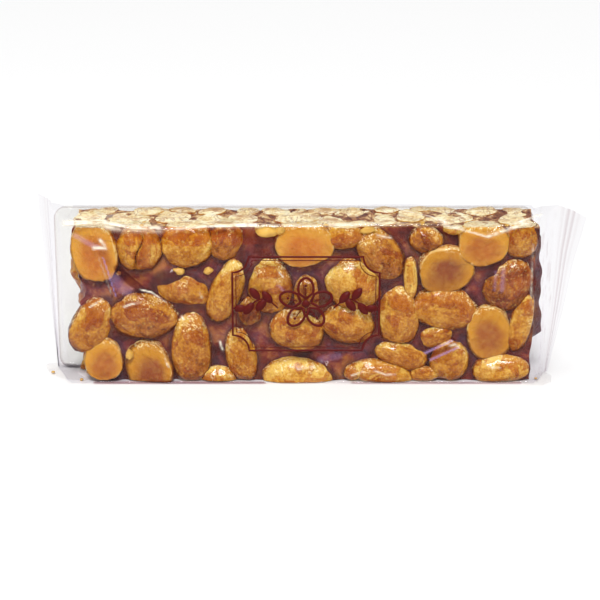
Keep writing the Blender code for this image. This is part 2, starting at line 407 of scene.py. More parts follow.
def caramel_material(settings):
    """Dark glossy caramel, lighter in patches, with a painted shadow against each almond and along its
    right end, sawn at the top.
    """
    shader = Shader("caramel_gloss")
    near = shader.attribute("near")
    cloud = shader.noise(140.0, 3.0, 0.55)
    specks = shader.noise(900.0, 2.0, 0.6)
    cells = {"Vector": shader.place, "Scale": 88.0, "Randomness": 0.9}
    sunken = 1.0 - shader.between(shader.node("ShaderNodeTexVoronoi", None, cells), 0.16, 0.46)
    grit = shader.noise(430.0, 4.0, 0.65, 0.4)
    thin = (0.34 + (cloud - 0.5) * 2.3 + (grit - 0.5) * 1.3 + sunken * 0.30).clamped()
    colour = shader.ramp(thin, [
        (0.0, settings.deep),
        (0.45, settings.body),
        (1.0, settings.thin),
    ])
    foam = shader.between(specks, 0.60, 0.72) * shader.between(cloud, 0.42, 0.60)
    colour = shader.mix_colour(foam * 0.55, colour, FOAM_GOLD)
    flecks = shader.noise(520.0, 4.0, 0.7, 0.6)
    smeared = (0.50 + (cloud - 0.5) * 0.8 + (flecks - 0.5) * 2.2).clamped()
    sawn = shader.ramp(smeared, SAWN_CARAMEL)
    # Painted shadow: the caramel is darkened next to each almond, where shade falls.
    colour = shader.mix_colour(near * (0.30 + cloud * 0.8), colour, PAINTED_SHADOW_BROWN)
    # Painted shade: the caramel is darker and redder in the strip under the film's ridge.
    colour = shader.mix_colour(shader.pressed() * 0.75, colour, PAINTED_STRIP_RED)
    colour = shader.mix_colour(shader.attribute("sawn"), colour, sawn)
    ripple = shader.noise(300.0, 2.0, 0.5, 0.8) + specks * 0.5 + grit * 0.6
    normal = shader.bump(ripple, 0.0008, 0.7)
    surface = shader.principled(
        base_color=colour, roughness=0.3, normal=normal, specular_ior_level=0.1,
        coat_weight=0.45, coat_roughness=0.04, coat_ior=1.4,
        subsurface_weight=0.12, subsurface_radius=(0.004, 0.0012, 0.0004), subsurface_scale=1.0,
    )
    return shader.finish(surface)


def almond_material(name, settings):
    """Toasted almond under a thin coat of caramel, streaked lengthwise, with painted shade at its rim
    and seam, its upper side painted lighter and painted glints on top.
    """
    shader = Shader(name)
    tint = shader.attribute("tint")
    rim = shader.attribute("rim")
    flat = shader.attribute("flat")
    heart = shader.attribute("heart")
    core = shader.attribute("core")
    crown = shader.attribute("crown")
    grain = shader.node("ShaderNodeAttribute", {"attribute_name": "grain"}, output="Vector")
    streaks = shader.noise(4.0, 3.0, 0.6, place=grain)
    patches = shader.noise(170.0, 2.0, 0.5, 0.5)
    mottle = shader.noise(620.0, 3.0, 0.6)
    pores = shader.noise(1400.0, 3.0, 0.6)
    # Painted light: the upper side and its shoulder are painted lighter, as if lit from above.
    lit_shoulder = shader.between(rim, 0.02, 0.40)
    # Painted shade: the almond is darker towards its rim, less so on its upper side.
    level = (
        0.55 + tint * 0.45 + (streaks - 0.5) * 0.6 + (patches - 0.5) * 0.7
        + (mottle - 0.5) * 0.6 + (pores - 0.5) * 0.8 + crown * 0.15 - core * 0.08
        + lit_shoulder * (0.05 + crown * 0.18)
        - shader.between(rim, 0.50, 1.0) * (0.72 - crown * 0.30 + (patches - 0.5) * 0.9)
    )
    colour = shader.ramp(level.clamped(), [
        (0.0, settings.almond_dark),
        (0.36, settings.almond_mid),
        (0.64, settings.almond_gold),
        (1.0, settings.almond_pale),
    ])
    wet = shader.noise(130.0, 3.0, 0.5, 1.0) + crown * 0.10
    glazed = shader.between(wet, 0.53, 0.57)
    colour = shader.mix_colour(glazed * 0.80, colour, GLAZE, "MULTIPLY")
    # Painted shade: the almonds are darker and richer in the strip under the film's ridge.
    colour = shader.mix_colour(shader.pressed() * 0.85, colour, PAINTED_STRIP_GLAZE, "MULTIPLY")
    freckled = shader.between(shader.noise(820.0, 3.0, 0.6), 0.57, 0.68)
    colour = shader.mix_colour(freckled * 0.35, colour, settings.almond_pale)
    # Painted glints: pale cream scratches on the upper shoulders stand in for highlights, also on flat
    # faces.
    painted_glints = shader.noise(1050.0, 2.0, 0.6, 1.5)
    painted_glints = shader.between(painted_glints, 0.55, 0.61) * shader.between(
        crown + (patches - 0.5) * 2.8 + rim * 0.30, 0.45, 0.90
    )
    colour = shader.mix_colour(painted_glints * 0.85, colour, GLINT_CREAM)
    pitted = shader.between(shader.noise(950.0, 2.0, 0.5, 0.5), 0.66, 0.74)
    colour = shader.mix_colour(pitted * 0.5, colour, settings.almond_dark)
    faced = shader.mix_colour(heart, settings.facet_brown, settings.facet_peach)
    edged = shader.mix_colour(heart, settings.almond_gold, settings.facet_amber)
    # Painted light: a flat face turns golden towards its top.
    inner = shader.between(core + (patches - 0.5) * 0.35 - crown * 0.38, 0.05, 0.75)
    faced = shader.mix_colour(inner, edged, faced)
    blotch = shader.between(shader.noise(120.0, 3.0, 0.5, 0.8) + crown * 0.08, 0.46, 0.66)
    faced = shader.mix_colour(blotch * 0.4, faced, BLOTCH_TAN, "MULTIPLY")
    faced = shader.mix_colour((mottle - 0.44).clamped() * 0.55, faced, settings.almond_pale)
    painted_facet_glints = painted_glints * shader.between(rim, 0.10, 0.32)
    faced = shader.mix_colour(painted_facet_glints, faced, GLINT_CREAM)
    # Painted shade round the outline of a flat face.
    outline = shader.between(rim, 0.52, 0.84)
    faced = shader.mix_colour(outline * 0.8, faced, settings.almond_dark)
    colour = shader.mix_colour(flat * 0.9, colour, faced)
    ring = (flat * (1.0 - flat) * 4.0 * shader.between(mottle + crown * 0.1, 0.42, 0.58)).clamped()
    colour = shader.mix_colour(ring * 0.7, colour, RING_GOLD)
    swell = shader.noise(240.0, 2.0, 0.5)
    height = pores * 0.5 + mottle * 0.8 + streaks * 0.5 + glazed * 0.3
    fine = shader.bump(height, 0.0008, 0.6)
    normal = shader.bump(swell, 0.0015, 0.7, Normal=fine)
    surface = shader.principled(
        base_color=colour, roughness=0.36 + (mottle - 0.5) * 0.3, normal=normal,
        specular_ior_level=0.10, coat_ior=1.38, coat_roughness=0.06,
        coat_weight=(shader.between(patches, 0.35, 0.6) * 0.7 + 0.15) * (1.0 - flat * 0.5),
        subsurface_weight=0.10, subsurface_radius=(0.003, 0.0012, 0.0004), subsurface_scale=1.0,
    )
    return shader.finish(surface)


def sawn_material(settings):
    """The cream inside of a sawn almond, with caramel smeared into its cracks."""
    shader = Shader("sawn_almond")
    cloud = shader.noise(260.0, 3.0, 0.6)
    grain = shader.noise(1100.0, 3.0, 0.7)
    wander = shader.noise(210.0, 3.0, 0.55, 1.4)
    vein = 1.0 - shader.between(abs(wander - 0.5), 0.0, 0.045)
    level = (0.60 + (cloud - 0.5) * 1.8 + (grain - 0.5) * 1.6).clamped()
    colour = shader.ramp(level, [
        (0.12, settings.sawn_tan),
        (0.50, settings.sawn_cream),
        (0.85, settings.sawn_white),
    ])
    drawn = shader.node("ShaderNodeVectorMath", {"operation": "MULTIPLY"}, {
        0: shader.place, 1: (0.45, 1.3, 1.0),
    })
    smeared = shader.between(shader.noise(300.0, 4.0, 0.65, 0.8, drawn), 0.53, 0.62)
    vein = vein * shader.between(cloud, 0.36, 0.52)
    colour = shader.mix_colour(vein * 0.75, colour, VEIN_BROWN)
    colour = shader.mix_colour(smeared * 0.65, colour, SMEAR_BROWN)
    normal = shader.bump(grain, 0.0002, 0.5)
    surface = shader.principled(
        base_color=colour, roughness=0.5, normal=normal,
        subsurface_weight=0.2, subsurface_radius=(0.003, 0.002, 0.001), subsurface_scale=1.0,
    )
    return shader.finish(surface)


def clear_material(name, gloss, haze, haze_colour, through, ripple, roughness=0.05):
    """A thin clear sheet: see-through, mirroring more at a slant, with a slight milky haze, painted
    white highlights, a painted mauve reflection and a painted crimson shade.
    """
    shader = Shader(name)
    facing = shader.node("ShaderNodeLayerWeight", None, {"Blend": 0.5}, output="Facing")
    mirror = (gloss + 0.3 * facing ** 5.0).clamped()
    cloud = shader.noise(60.0, 2.0, 0.5)
    milk = (haze * (0.6 + cloud * 0.8) + shader.attribute("milk")).clamped()
    normal = shader.bump(shader.noise(ripple, 2.0, 0.5, 0.5), 0.0004, 0.35)
    clear = shader.simple("Transparent", through)
    # Painted shade: a crimson see-through tint darkens what lies behind the film's folds, ribs and
    # foot and the tray's rim.
    painted_shade_tint = shader.simple("Transparent", CRIMSON_SHADE)
    body = shader.mix_shader(shader.attribute("shade"), clear, painted_shade_tint)
    # Painted reflection: a mauve diffuse share stands in for what the film mirrors, and for lilac
    # highlights on folds.
    body = shader.mix_shader(shader.attribute("veil"), body, shader.simple("Diffuse", MAUVE_REFLECTION_COLOUR))
    # The milky share also carries the film's painted white highlights and glints.
    body = shader.mix_shader(milk, body, shader.simple("Diffuse", haze_colour))
    shine = shader.simple("Glossy", SHINE, Roughness=roughness, Normal=normal)
    return shader.finish(shader.mix_shader(mirror, body, shine))


def print_material(settings):
    """The print's dark red ink, slightly see-through."""
    shader = Shader("print_ink")
    cloud = shader.noise(500.0, 2.0, 0.5)
    ink = Vector(settings.ink)
    colour = shader.mix_colour(cloud, ink * 0.9, ink * 1.1)
    surface = shader.principled(
        base_color=colour, roughness=0.35 + cloud * 0.1, alpha=0.93, specular_ior_level=0.1,
    )
    return shader.finish(surface)


def crumb_material(settings):
    """Chips and crumbs of almond: pale, rough and lightly glazed."""
    shader = Shader("almond_crumb")
    cloud = shader.noise(500.0, 3.0, 0.6)
    colour = shader.mix_colour(cloud, settings.almond_gold, settings.almond_pale)
    normal = shader.bump(cloud, 0.0002, 0.6)
    surface = shader.principled(base_color=colour, roughness=0.3 + cloud * 0.2, normal=normal)
    return shader.finish(surface)


def floor_material(settings):
    """Plain pale floor."""
    shader = Shader("pale_floor")
    cloud = shader.noise(3.0, 1.0, 0.5)
    pale = Vector(settings.floor)
    colour = shader.mix_colour(cloud, pale, pale * 0.99)
    return shader.finish(shader.principled(base_color=colour, roughness=0.7))


def half_depth(kernel, settings):
    """Half the depth of an almond, which is always a little less than its half width."""
    return min(settings.thickness / 2, kernel.half_width * MM * 0.95)


def middle_of(kernel, settings):
    y = BAR_FRONT + half_depth(kernel, settings) + kernel.sunk * MM
    return Vector((kernel.x * MM, y, kernel.z * MM))


def front_distance(x, z, kernel, settings):
    """How far points of the front lie from an almond's middle: 1 is on its outline."""
    turn = math.radians(kernel.turn)
    from_x = x - kernel.x * MM
    from_z = z - kernel.z * MM
    along = (from_x * math.cos(turn) + from_z * math.sin(turn)) / (kernel.half_length * MM)
    across = (from_z * math.cos(turn) - from_x * math.sin(turn)) / (kernel.half_width * MM)
    ends = np.clip(along, -1, 1)
    across = across / (1 - settings.taper * ends * (1 + ends) / 2)
    return np.sqrt(along * along + across * across)


# Where the caramel has run over the almonds: x, z, radius and height, in mm.
SPILLS = (
    (-42.6, 34.2, 4.0, 2.2),
    (-34.0, 34.6, 2.6, 1.0),
    (-58.4, 27.0, 3.0, 0.8),
    (22.6, 35.0, 4.2, 1.6),
    (56.0, 35.8, 4.4, 1.8),
    (-11.0, 24.0, 3.4, 1.2),
    (34.0, 11.6, 3.6, 1.4),
    (-24.0, 20.0, 3.0, 1.0),
    (6.4, 35.6, 3.0, 1.0),
)


def gap_from_almonds(x, z, settings):
    """How far points of the front lie outside the nearest almond, in metres."""
    nearest = np.full_like(x, 9.0)
    for kernel in FRONT_KERNELS:
        outside = (front_distance(x, z, kernel, settings) - 1) * kernel.half_width * MM
        nearest = np.minimum(nearest, np.maximum(outside, 0))
    return nearest


# How far from an almond the painted shadow on the caramel reaches.
PAINTED_SHADOW_REACH = 0.0009


def caramel_front(x, z, settings):
    """The caramel's surface between the almonds, and how near each point is to an almond, which sets
    the painted shadow there.
    """
    uneven = waves(x, z, 5, (0.021, 0.009, 0.004), (0.0005, 0.0003, 0.00012))
    nearest = gap_from_almonds(x, z, settings)
    rise = settings.meniscus * np.exp(-((nearest / settings.fillet) ** 2))
    for spill_x, spill_z, radius, height in SPILLS:
        away = np.hypot(x - spill_x * MM, z - spill_z * MM) / (radius * MM)
        rise = rise + height * MM * np.exp(-away * away)
    # The painted shadow fades with the distance from the nearest almond.
    near = np.exp(-((nearest / PAINTED_SHADOW_REACH) ** 2))
    return BAR_FRONT + settings.relief + uneven - rise, near


# Size of the caramel's grid along X, Y and Z.
CARAMEL_CELL = (0.00048, 0.0014, 0.00048)
# How far the front of the caramel's left end stands back from its corner, by height. In mm.
LEFT_END_Z = (0, 8, 10, 25, 27, 30, 33, 51)
LEFT_END_X = (5.4, 4.8, 1.6, 0.6, 2.6, 2.6, 0.4, 0.0)


def shape_ends(x, y, z, left, right):
    """Moves the points of the caramel near its ends, which are uneven, along X."""
    forward = np.clip((0.004 - y) / 0.008, 0, 1)
    forward = np.maximum(forward, smooth_step((0.011 - z) / 0.003))
    inset = np.interp(z / MM, LEFT_END_Z, LEFT_END_X) * MM * forward
    x = x + inset * np.clip((BAR_LEFT + 0.022 - x) / 0.020, 0, 1)
    x = x + np.where(left, waves(y, z, 8, (0.017, 0.006, 0.0024), (0.0008, 0.0005, 0.0002)), 0)
    x = x + np.where(right, waves(y, z, 9, (0.017, 0.007), (0.0005, 0.0003)), 0)
    # Behind the front row the bar runs on a little further to the right.
    past = np.exp(-(((y - 0.0036) / 0.0024) ** 2)) * smooth_step((z - 0.011) / 0.003)
    past = past * smooth_step((0.047 - z) / 0.003)
    return x + 0.0040 * past * smooth_step((x - BAR_RIGHT + 0.006) / 0.006)


def lean_right_end(x, y, z):
    """The front's right end leans out towards the top."""
    leaning = smooth_step((z - 0.028) / 0.018) * smooth_step((x - BAR_RIGHT + 0.012) / 0.011)
    return x + 0.0012 * leaning * np.clip((0.002 - y) / 0.004, 0, 1)


def make_caramel(settings):
    """The body of caramel, its front risen round the almonds and its ends uneven."""
    bm = bmesh.new()
    low = Vector((BAR_LEFT + 0.0018, BAR_FRONT + settings.relief, 0.0002))
    high = Vector((BAR_RIGHT - 0.0006, BAR_BACK - 0.0012, BAR_TOP - 0.0004))
    solid_box(bm, low, high)
    for axis, cell in enumerate(CARAMEL_CELL):
        split_along(bm, axis, int((high - low)[axis] / cell))
    # The near layer holds the painted shadow that darkens the caramel by the almonds and at its right
    # end.
    painted_shadow_layer = bm.verts.layers.float.new("near")
    sawn_layer = bm.verts.layers.float.new("sawn")
    verts = bm.verts[:]
    x, y, z = np.array([vert.co for vert in verts]).T
    front, back = [np.abs(y - side) < 1e-6 for side in (low.y, high.y)]
    left, right = [np.abs(x - side) < 1e-6 for side in (low.x, high.x)]
    top = np.abs(z - high.z) < 1e-6
    surface, painted_shadow_near_almond = caramel_front(x, z, settings)
    # The rise of the front fades through the depth of the bar, so the top follows it.
    share = np.clip((high.y - y) / (high.y - low.y), 0, 1) ** 3
    y = y + (surface - low.y) * share
    x = shape_ends(x, y, z, left, right)
    near = np.where(front, painted_shadow_near_almond, 0.0)
    # Painted shade: a dark strip is painted along the caramel's right end.
    near = np.maximum(near, smooth_step((x - BAR_RIGHT + 0.0004) / 0.0008))
    x = lean_right_end(x, y, z)
    z = z + np.where(top, waves(x, y, 11, (0.007, 0.003), (0.0001, 0.00008)), 0)
    y = y + np.where(back, waves(x, z, 12, (0.015, 0.006), (0.0004, 0.0002)), 0)
    for vert, place, value, sawn in zip(verts, np.stack((x, y, z), axis=1), near, top):
        vert.co = place
        vert[painted_shadow_layer] = value
        vert[sawn_layer] = float(sawn)
    lift_back(bm, settings)
    return finish_piece(bm, "caramel_body", [caramel_material(settings)])


def shape_kernel(unit, kernel, settings, shift):
    """Where a point of the unit sphere goes on the almond, whose tip is the sphere's pole."""
    across = math.hypot(unit.x, unit.y)
    power = settings.fullness
    full = (across ** power + abs(unit.z) ** power) ** (-1 / power)
    narrowing = 1 - settings.taper * unit.z * (1 + unit.z) / 2
    around = math.atan2(unit.y, unit.x)
    # Fine furrows run from end to end, and the whole is a little lumpy.
    furrow = 0.010 * math.sin(9 * around + 3 * noise.noise(unit * 1.4 + shift))
    lump = 0.080 * noise.noise(unit * 1.6 + shift) + 0.035 * noise.noise(unit * 4.5 + shift)
    size = full * (1.02 + furrow * (1 - unit.z * unit.z) + lump)
    place = Vector((unit.x * narrowing * size, unit.y * size, unit.z * size))
    if kernel.flat and place.y < 0:
        place.y *= settings.flat_fullness
    if kernel.split:
        place.y += 0.34 * seam_share(place, unit)
    return place


def seam_share(place, unit):
    """How deep a point of a split almond lies in its seam: 1 along the middle of the front."""
    seam = place.x - 0.03 - 0.30 * place.z - 0.05 * math.sin(6 * place.z)
    return math.exp(-((seam / 0.07) ** 2)) * max(0.0, -unit.y)


def new_kernel(kernel, settings, seed):
    """One almond of the front, with the values that its material reads."""
    bm, layers = new_almond(96 if kernel.split else 48, 40, seed * 7.3)
    tint, rim, flat, heart, core, crown = layers
    half = Vector((
        kernel.half_width * MM, half_depth(kernel, settings), kernel.half_length * MM,
    ))
    turn = Matrix.Rotation(math.radians(90 - kernel.turn), 3, "Y")
    middle = middle_of(kernel, settings)
    facing = Vector((kernel.lean[0], -1.0, kernel.lean[1])).normalized()
    cut = half.y - kernel.flat * MM
    angle = math.radians(kernel.turn)
    rise = math.hypot(half.z * math.sin(angle), half.x * math.cos(angle))
    shift = Vector((seed * 3.7, seed * 1.9, seed * 5.3))
    for vert in bm.verts:
        unit = vert.co.copy()
        shaped = shape_kernel(unit, kernel, settings, shift)
        place = turn @ Vector([shaped[i] * half[i] for i in range(3)])
        bulge = 0.0004 * noise.noise(unit * 2.2 + shift)
        over = place.dot(facing) - cut + bulge
        if kernel.flat and over > 0:
            rounded = settings.crease * (1 - math.exp(-over / settings.crease))
            place -= facing * (over * 0.95 - rounded)
        out = math.hypot(unit.x, unit.z)
        vert.co = middle + place
        # The rim value paints shade towards the outline and, on a split almond, along its seam.
        edge = limited((out - 0.60) / 0.36) ** 1.5 if unit.y < 0 else 1.0
        if kernel.split:
            edge = max(edge, 0.95 * seam_share(shaped, unit))
        vert[tint] = kernel.tint
        vert[rim] = edge * (0.85 if kernel.flat else 1.0)
        vert[flat] = limited(over / 0.0007) if kernel.flat else 0.0
        vert[heart] = kernel.tone
        vert[core] = limited(1.1 - out / 0.8)
        # Crown is the height on the almond, which its material uses to paint the upper side lighter.
        vert[crown] = place.z / rise if unit.y < 0 else 0.0
    return bm


def saw_off(bm, height, direction):
    """Saws an almond at a height, and closes the cut with the second material."""
    cut = bmesh.ops.bisect_plane(
        bm, geom=[*bm.verts, *bm.edges, *bm.faces], plane_co=(0, 0, height),
        plane_no=(0, 0, direction), clear_outer=True,
    )
    rim = [item for item in cut["geom_cut"] if isinstance(item, bmesh.types.BMEdge)]
    if not rim:
        return
    for face in bmesh.ops.contextual_create(bm, geom=rim)["faces"]:
        face.material_index = 1


LOOKS = ("tint", "rim", "flat", "heart", "core", "crown")


def new_almond(segments, rings, shift):
    """A unit sphere of its own, with layers for the values that the almond material reads."""
    bm = bmesh.new()
    for name in LOOKS:
        bm.verts.layers.float.new(name)
    grain = bm.verts.layers.float_vector.new("grain")
    layers = [bm.verts.layers.float[name] for name in LOOKS]
    bmesh.ops.create_uvsphere(bm, u_segments=segments, v_segments=rings, radius=1.0)
    for vert in bm.verts:
        vert[grain] = (vert.co.x + shift, vert.co.y + shift, vert.co.z * 0.22 + shift)
    return bm, layers


def join(whole, bm):
    """Adds a bmesh to the whole and frees it."""
    mesh = mesh_of(bm, "almond")
    whole.from_mesh(mesh)
    bpy.data.meshes.remove(mesh)


def lift_back(bm, settings):
    """Raises what lies near the top towards the back, where the top slopes up."""
    for vert in bm.verts:
        back = limited((vert.co.y - BAR_FRONT - 0.005) / 0.0125)
        up = limited((vert.co.z - BAR_TOP + 0.012) / 0.012)
        vert.co.z += settings.back_rise * back ** 1.5 * up


def make_front_almonds(settings):
    """The whole almonds of the front, each with its own shape and colour."""
    whole = bmesh.new()
    chance = random.Random(3)
    for number, kernel in enumerate(FRONT_KERNELS):
        bm = new_kernel(kernel, settings, number + 1)
        reach = kernel.half_length * MM
        if kernel.z * MM + reach > BAR_TOP:
            saw_off(bm, BAR_TOP - chance.uniform(0, 0.0003), 1)
        elif kernel.z * MM - reach < 0.0003:
            saw_off(bm, 0.0003 + chance.uniform(0, 0.0002), -1)
        join(whole, bm)
    lift_back(whole, settings)
    materials = [almond_material("toasted_almond", settings), sawn_material(settings)]
    return finish_piece(whole, "front_almonds", materials)


def new_plain_almond(middle, half, turn, seed, tint):
    """An almond of the second layer, lumpy as the others are."""
    bm, layers = new_almond(32, 22, seed * 7.3)
    shift = Vector((seed * 2.9, seed * 4.1, seed * 1.7))
    for vert in bm.verts:
        unit = vert.co.copy()
        size = 1.03 + 0.20 * noise.noise(unit * 1.7 + shift) + 0.08 * noise.noise(unit * 5 + shift)
        vert.co = middle + turn @ Vector([unit[i] * half[i] * size for i in range(3)])
        vert[layers[0]] = tint
        vert[layers[1]] = 0.35
    return bm


def add_sawn(whole, middle, half, turn, seed, tint, height, direction=1):
    """Adds an almond of the second layer to the whole, sawn at a height."""
    bm = new_plain_almond(middle, half, turn, seed, tint)
    saw_off(bm, height, direction)
    join(whole, bm)


def make_top_almonds(settings):
    """The sawn almonds of the top and the bottom, behind the first row."""
    whole = bmesh.new()
    chance = random.Random(21)
    deep, shallow = 0.0055, 0.0019
    for number, (x, y, half_x, half_y, angle) in enumerate(TOP_SECTIONS):
        turn = Matrix.Rotation(math.radians(angle), 3, "Z")
        chip = y < -3
        half = (half_x * MM, half_y * MM, shallow if chip else deep)
        middle = Vector((x * MM, y * MM, BAR_TOP - (0.0006 if chip else 0.0018)))
        add_sawn(
            whole, middle, half, turn, number, chance.uniform(-0.2, 0.3),
            BAR_TOP - chance.uniform(0.00005, 0.0004),
        )
    # The bottom has the same almonds the other way round.
    for number, (x, y, half_x, half_y, angle) in enumerate(TOP_SECTIONS):
        if y < 0.5:
            continue
        turn = Matrix.Rotation(math.radians(-angle), 3, "Z")
        middle = Vector((-x * MM - 0.0034, y * MM, 0.0018))
        add_sawn(
            whole, middle, (half_x * MM, half_y * MM, deep), turn, number,
            chance.uniform(-0.2, 0.3), chance.uniform(0.00015, 0.0003), -1,
        )
    lift_back(whole, settings)
    materials = [almond_material("second_layer_almond", settings), sawn_material(settings)]
    return finish_piece(whole, "sawn_almonds", materials)


# The almonds of the back: rows and columns, the first one's place and the steps between them.
BACK_ROWS, BACK_COLUMNS = 4, 10
BACK_START_X, BACK_START_Z = BAR_LEFT + 0.0075, 0.0062
BACK_STEP_X, BACK_STEP_Z = 0.0143, 0.0126


def back_places(chance):
    """Places for the almonds of the back, in uneven rows."""
    places = []
    for row in range(BACK_ROWS):
        for column in range(BACK_COLUMNS):
            x = BACK_START_X + column * BACK_STEP_X + (row % 2) * 0.005 + chance.uniform(-2, 2) * MM
            z = BACK_START_Z + row * BACK_STEP_Z + chance.uniform(-1.6, 1.6) * MM
            if row == 0 and column == 0:
                x += 0.0055
            if x < BAR_RIGHT - 0.006:
                places.append((x, z))
    return places


def make_back_almonds(settings):
    """The almonds that reach the ends and the back, where the tray has pressed them flat."""
    whole = bmesh.new()
    chance = random.Random(40)
    low, high = 0.0004, BAR_TOP - 0.0005
    flat_from = BAR_BACK - 0.0004
    for number, (x, y, z, half_length, half_width, angle) in enumerate(END_KERNELS):
        turn = Matrix.Rotation(math.radians(90 - angle), 3, "Y")
        half = (half_width * MM, 0.0046, half_length * MM)
        middle = Vector((x, y, z)) * MM
        add_sawn(whole, middle, half, turn, number + 60, chance.uniform(-0.3, 0.2), high)
    for number, (x, z) in enumerate(back_places(chance)):
        turn = Matrix.Rotation(chance.uniform(0, math.pi), 3, "Y")
        half = (chance.uniform(5.2, 6.6) * MM, 0.0044, chance.uniform(6.8, 8.8) * MM)
        middle = Vector((x, BAR_BACK - 0.0036, z))
        bm = new_plain_almond(middle, half, turn, number + 90, chance.uniform(-0.4, 0.2))
        for vert in bm.verts:
            over = vert.co.y - flat_from
            if over > 0:
                vert.co.y -= over * 0.9
        saw_off(bm, high, 1)
        saw_off(bm, low, -1)
        join(whole, bm)
    lift_back(whole, settings)
    materials = [almond_material("back_almond", settings), sawn_material(settings)]
    return finish_piece(whole, "back_almonds", materials)


# Chips of almond on the front: x, depth behind the crowns, z, half sizes, turn. In mm.
CHIPS = (
    (-39.6, 2.2, 35.9, 2.0, 1.0, -8),
    (-30.6, 2.6, 35.9, 1.5, 1.1, 10),
    (-55.6, 2.0, 8.9, 1.6, 1.2, 80),
    (-12.6, 0.9, 48.6, 3.2, 1.7, 0),
    (-8.8, 1.3, 48.9, 1.8, 1.2, 20),
    (-58.2, 3.1, 35.0, 0.8, 0.6, 0),
    (18.0, 1.6, 49.0, 2.4, 1.0, 12),
)
# Crumbs on the floor beside the bar: x, y, z, half size. Then how many stick to its sawn top.
LOOSE_CRUMBS = (
    (-80.6, 2.0, 0.7, 0.5),
    (-70.8, -4.4, 0.5, 0.55),
    (71.4, -3.4, 0.5, 0.4),
)
TOP_CRUMBS = 46


def add_chip(bm, middle, half, turn, seed):
    made = bmesh.ops.create_icosphere(bm, subdivisions=3, radius=1.0)
    shift = Vector((seed * 2.3, seed, seed * 4.7))
    for vert in made["verts"]:
        unit = vert.co.copy()
        size = 1 + 0.35 * noise.noise(unit * 1.6 + shift) + 0.12 * noise.noise(unit * 4 + shift)
        vert.co = middle + turn @ Vector([unit[i] * half[i] * size for i in range(3)])


def make_crumbs(settings):
    """Chips stuck to the caramel, loose crumbs beside the bar and those of the sawn top."""
    bm = bmesh.new()
    for number, (x, depth, z, half_x, half_z, angle) in enumerate(CHIPS):
        turn = Matrix.Rotation(math.radians(-angle), 3, "Y")
        middle = Vector((x * MM, BAR_FRONT + depth * MM, z * MM))
        add_chip(bm, middle, (half_x * MM, half_z * MM, half_z * MM), turn, number)
    for number, (x, y, z, half) in enumerate(LOOSE_CRUMBS):
        turn = Matrix.Rotation(number * 1.3, 3, "Z")
        size = half * MM
        add_chip(bm, Vector((x, y, z)) * MM, (size * 1.2, size, size * 0.7), turn, number + 30)
    chance = random.Random(77)
    for number in range(TOP_CRUMBS):
        x = chance.uniform(BAR_LEFT + 0.003, BAR_RIGHT - 0.003)
        y = chance.uniform(BAR_FRONT + 0.003, BAR_BACK - 0.002)
        size = chance.uniform(0.25, 0.7) * MM
        turn = Matrix.Rotation(chance.uniform(0, 3), 3, "Z")
        middle = Vector((x, y, BAR_TOP - 0.0001))
        add_chip(bm, middle, (size * 1.3, size, size * 0.5), turn, number + 100)
    return finish_piece(bm, "almond_crumbs", [crumb_material(settings)])


def round_edges(bm, edges, radius, segments):
    bmesh.ops.bevel(
        bm, geom=edges, offset=radius, offset_type="OFFSET", affect="EDGES",
        segments=segments, profile=0.5, material=-1,
    )


# The tray's sides, and how far its rim is shaded where it is seen edge on.
TRAY_LEFT, TRAY_RIGHT = PACK_LOW.x + 0.0048, BAR_RIGHT + 0.0004
TRAY_BACK = PACK_HIGH.y - 0.0003
TRAY_TOP = PACK_HIGH.z - 0.0043
RIM_SHADE = 0.24


def make_tray(settings):
    """The shallow clear tray: a rounded panel with a low lip, thin all over."""
    bm = bmesh.new()
    low = Vector((TRAY_LEFT, TRAY_BACK - settings.lip, 0.0002))
    high = Vector((TRAY_RIGHT, TRAY_BACK, TRAY_TOP))
    solid_box(bm, low, high)
    corners = [
        edge for edge in bm.edges
        if abs(edge.verts[0].co.y - edge.verts[1].co.y) > settings.lip / 2
    ]
    round_edges(bm, corners, settings.corner, 8)
    front = min(bm.faces, key=lambda face: face.calc_center_median().y)
    bmesh.ops.inset_region(bm, faces=[front], thickness=settings.sheet, use_even_offset=True)
    depth = settings.lip - settings.sheet
    bmesh.ops.translate(bm, verts=front.verts[:], vec=(0, depth, 0))
    rims = [
        edge for edge in bm.edges
        if len(edge.link_faces) == 2 and edge.calc_face_angle() > math.radians(60)
    ]
    round_edges(bm, rims, settings.sheet * 0.4, 2)
    shade = bm.verts.layers.float.new("shade")
    for vert in bm.verts:
        vert[shade] = RIM_SHADE if vert.co.y < low.y + settings.sheet else 0.0
    clear = clear_material(
        "clear_tray", 0.03, 0.01, (0.86, 0.86, 0.80), (0.965, 0.965, 0.940), 40.0, 0.08
    )
    return finish_piece(bm, "clear_tray", [clear])


# Folds in the film, as lines across its unrolled front and top: points of x and of the
# distance up from the floor, then the fold's half width and height. In mm.
FOLDS = (
    (((27, 63), (40, 51.5), (54.2, 47.6), (67.5, 52.2), (71, 56)), 0.7, 0.8),
    (((-63.6, 42.7), (-60.0, 28.9)), 0.5, 0.5),
    (((-62.3, 42.7), (-58.6, 28.9)), 0.5, 0.45),
    (((-63.0, 46.0), (-55.8, 40.0), (-49.0, 32.4)), 0.6, 0.35),
    (((36.1, 10.3), (44.4, 14.4)), 0.5, 0.5),
    (((37.9, 8.1), (46.3, 12.2)), 0.5, 0.5),
    (((57.0, 31.0), (57.2, 36.5)), 0.5, 0.35),
    (((59.3, 31.0), (59.5, 37.5)), 0.7, 0.35),
    (((66.0, 4.0), (65.4, 11.0)), 0.6, 0.35),
    (((68.6, 26.0), (68.2, 45.0)), 0.5, 0.4),
)
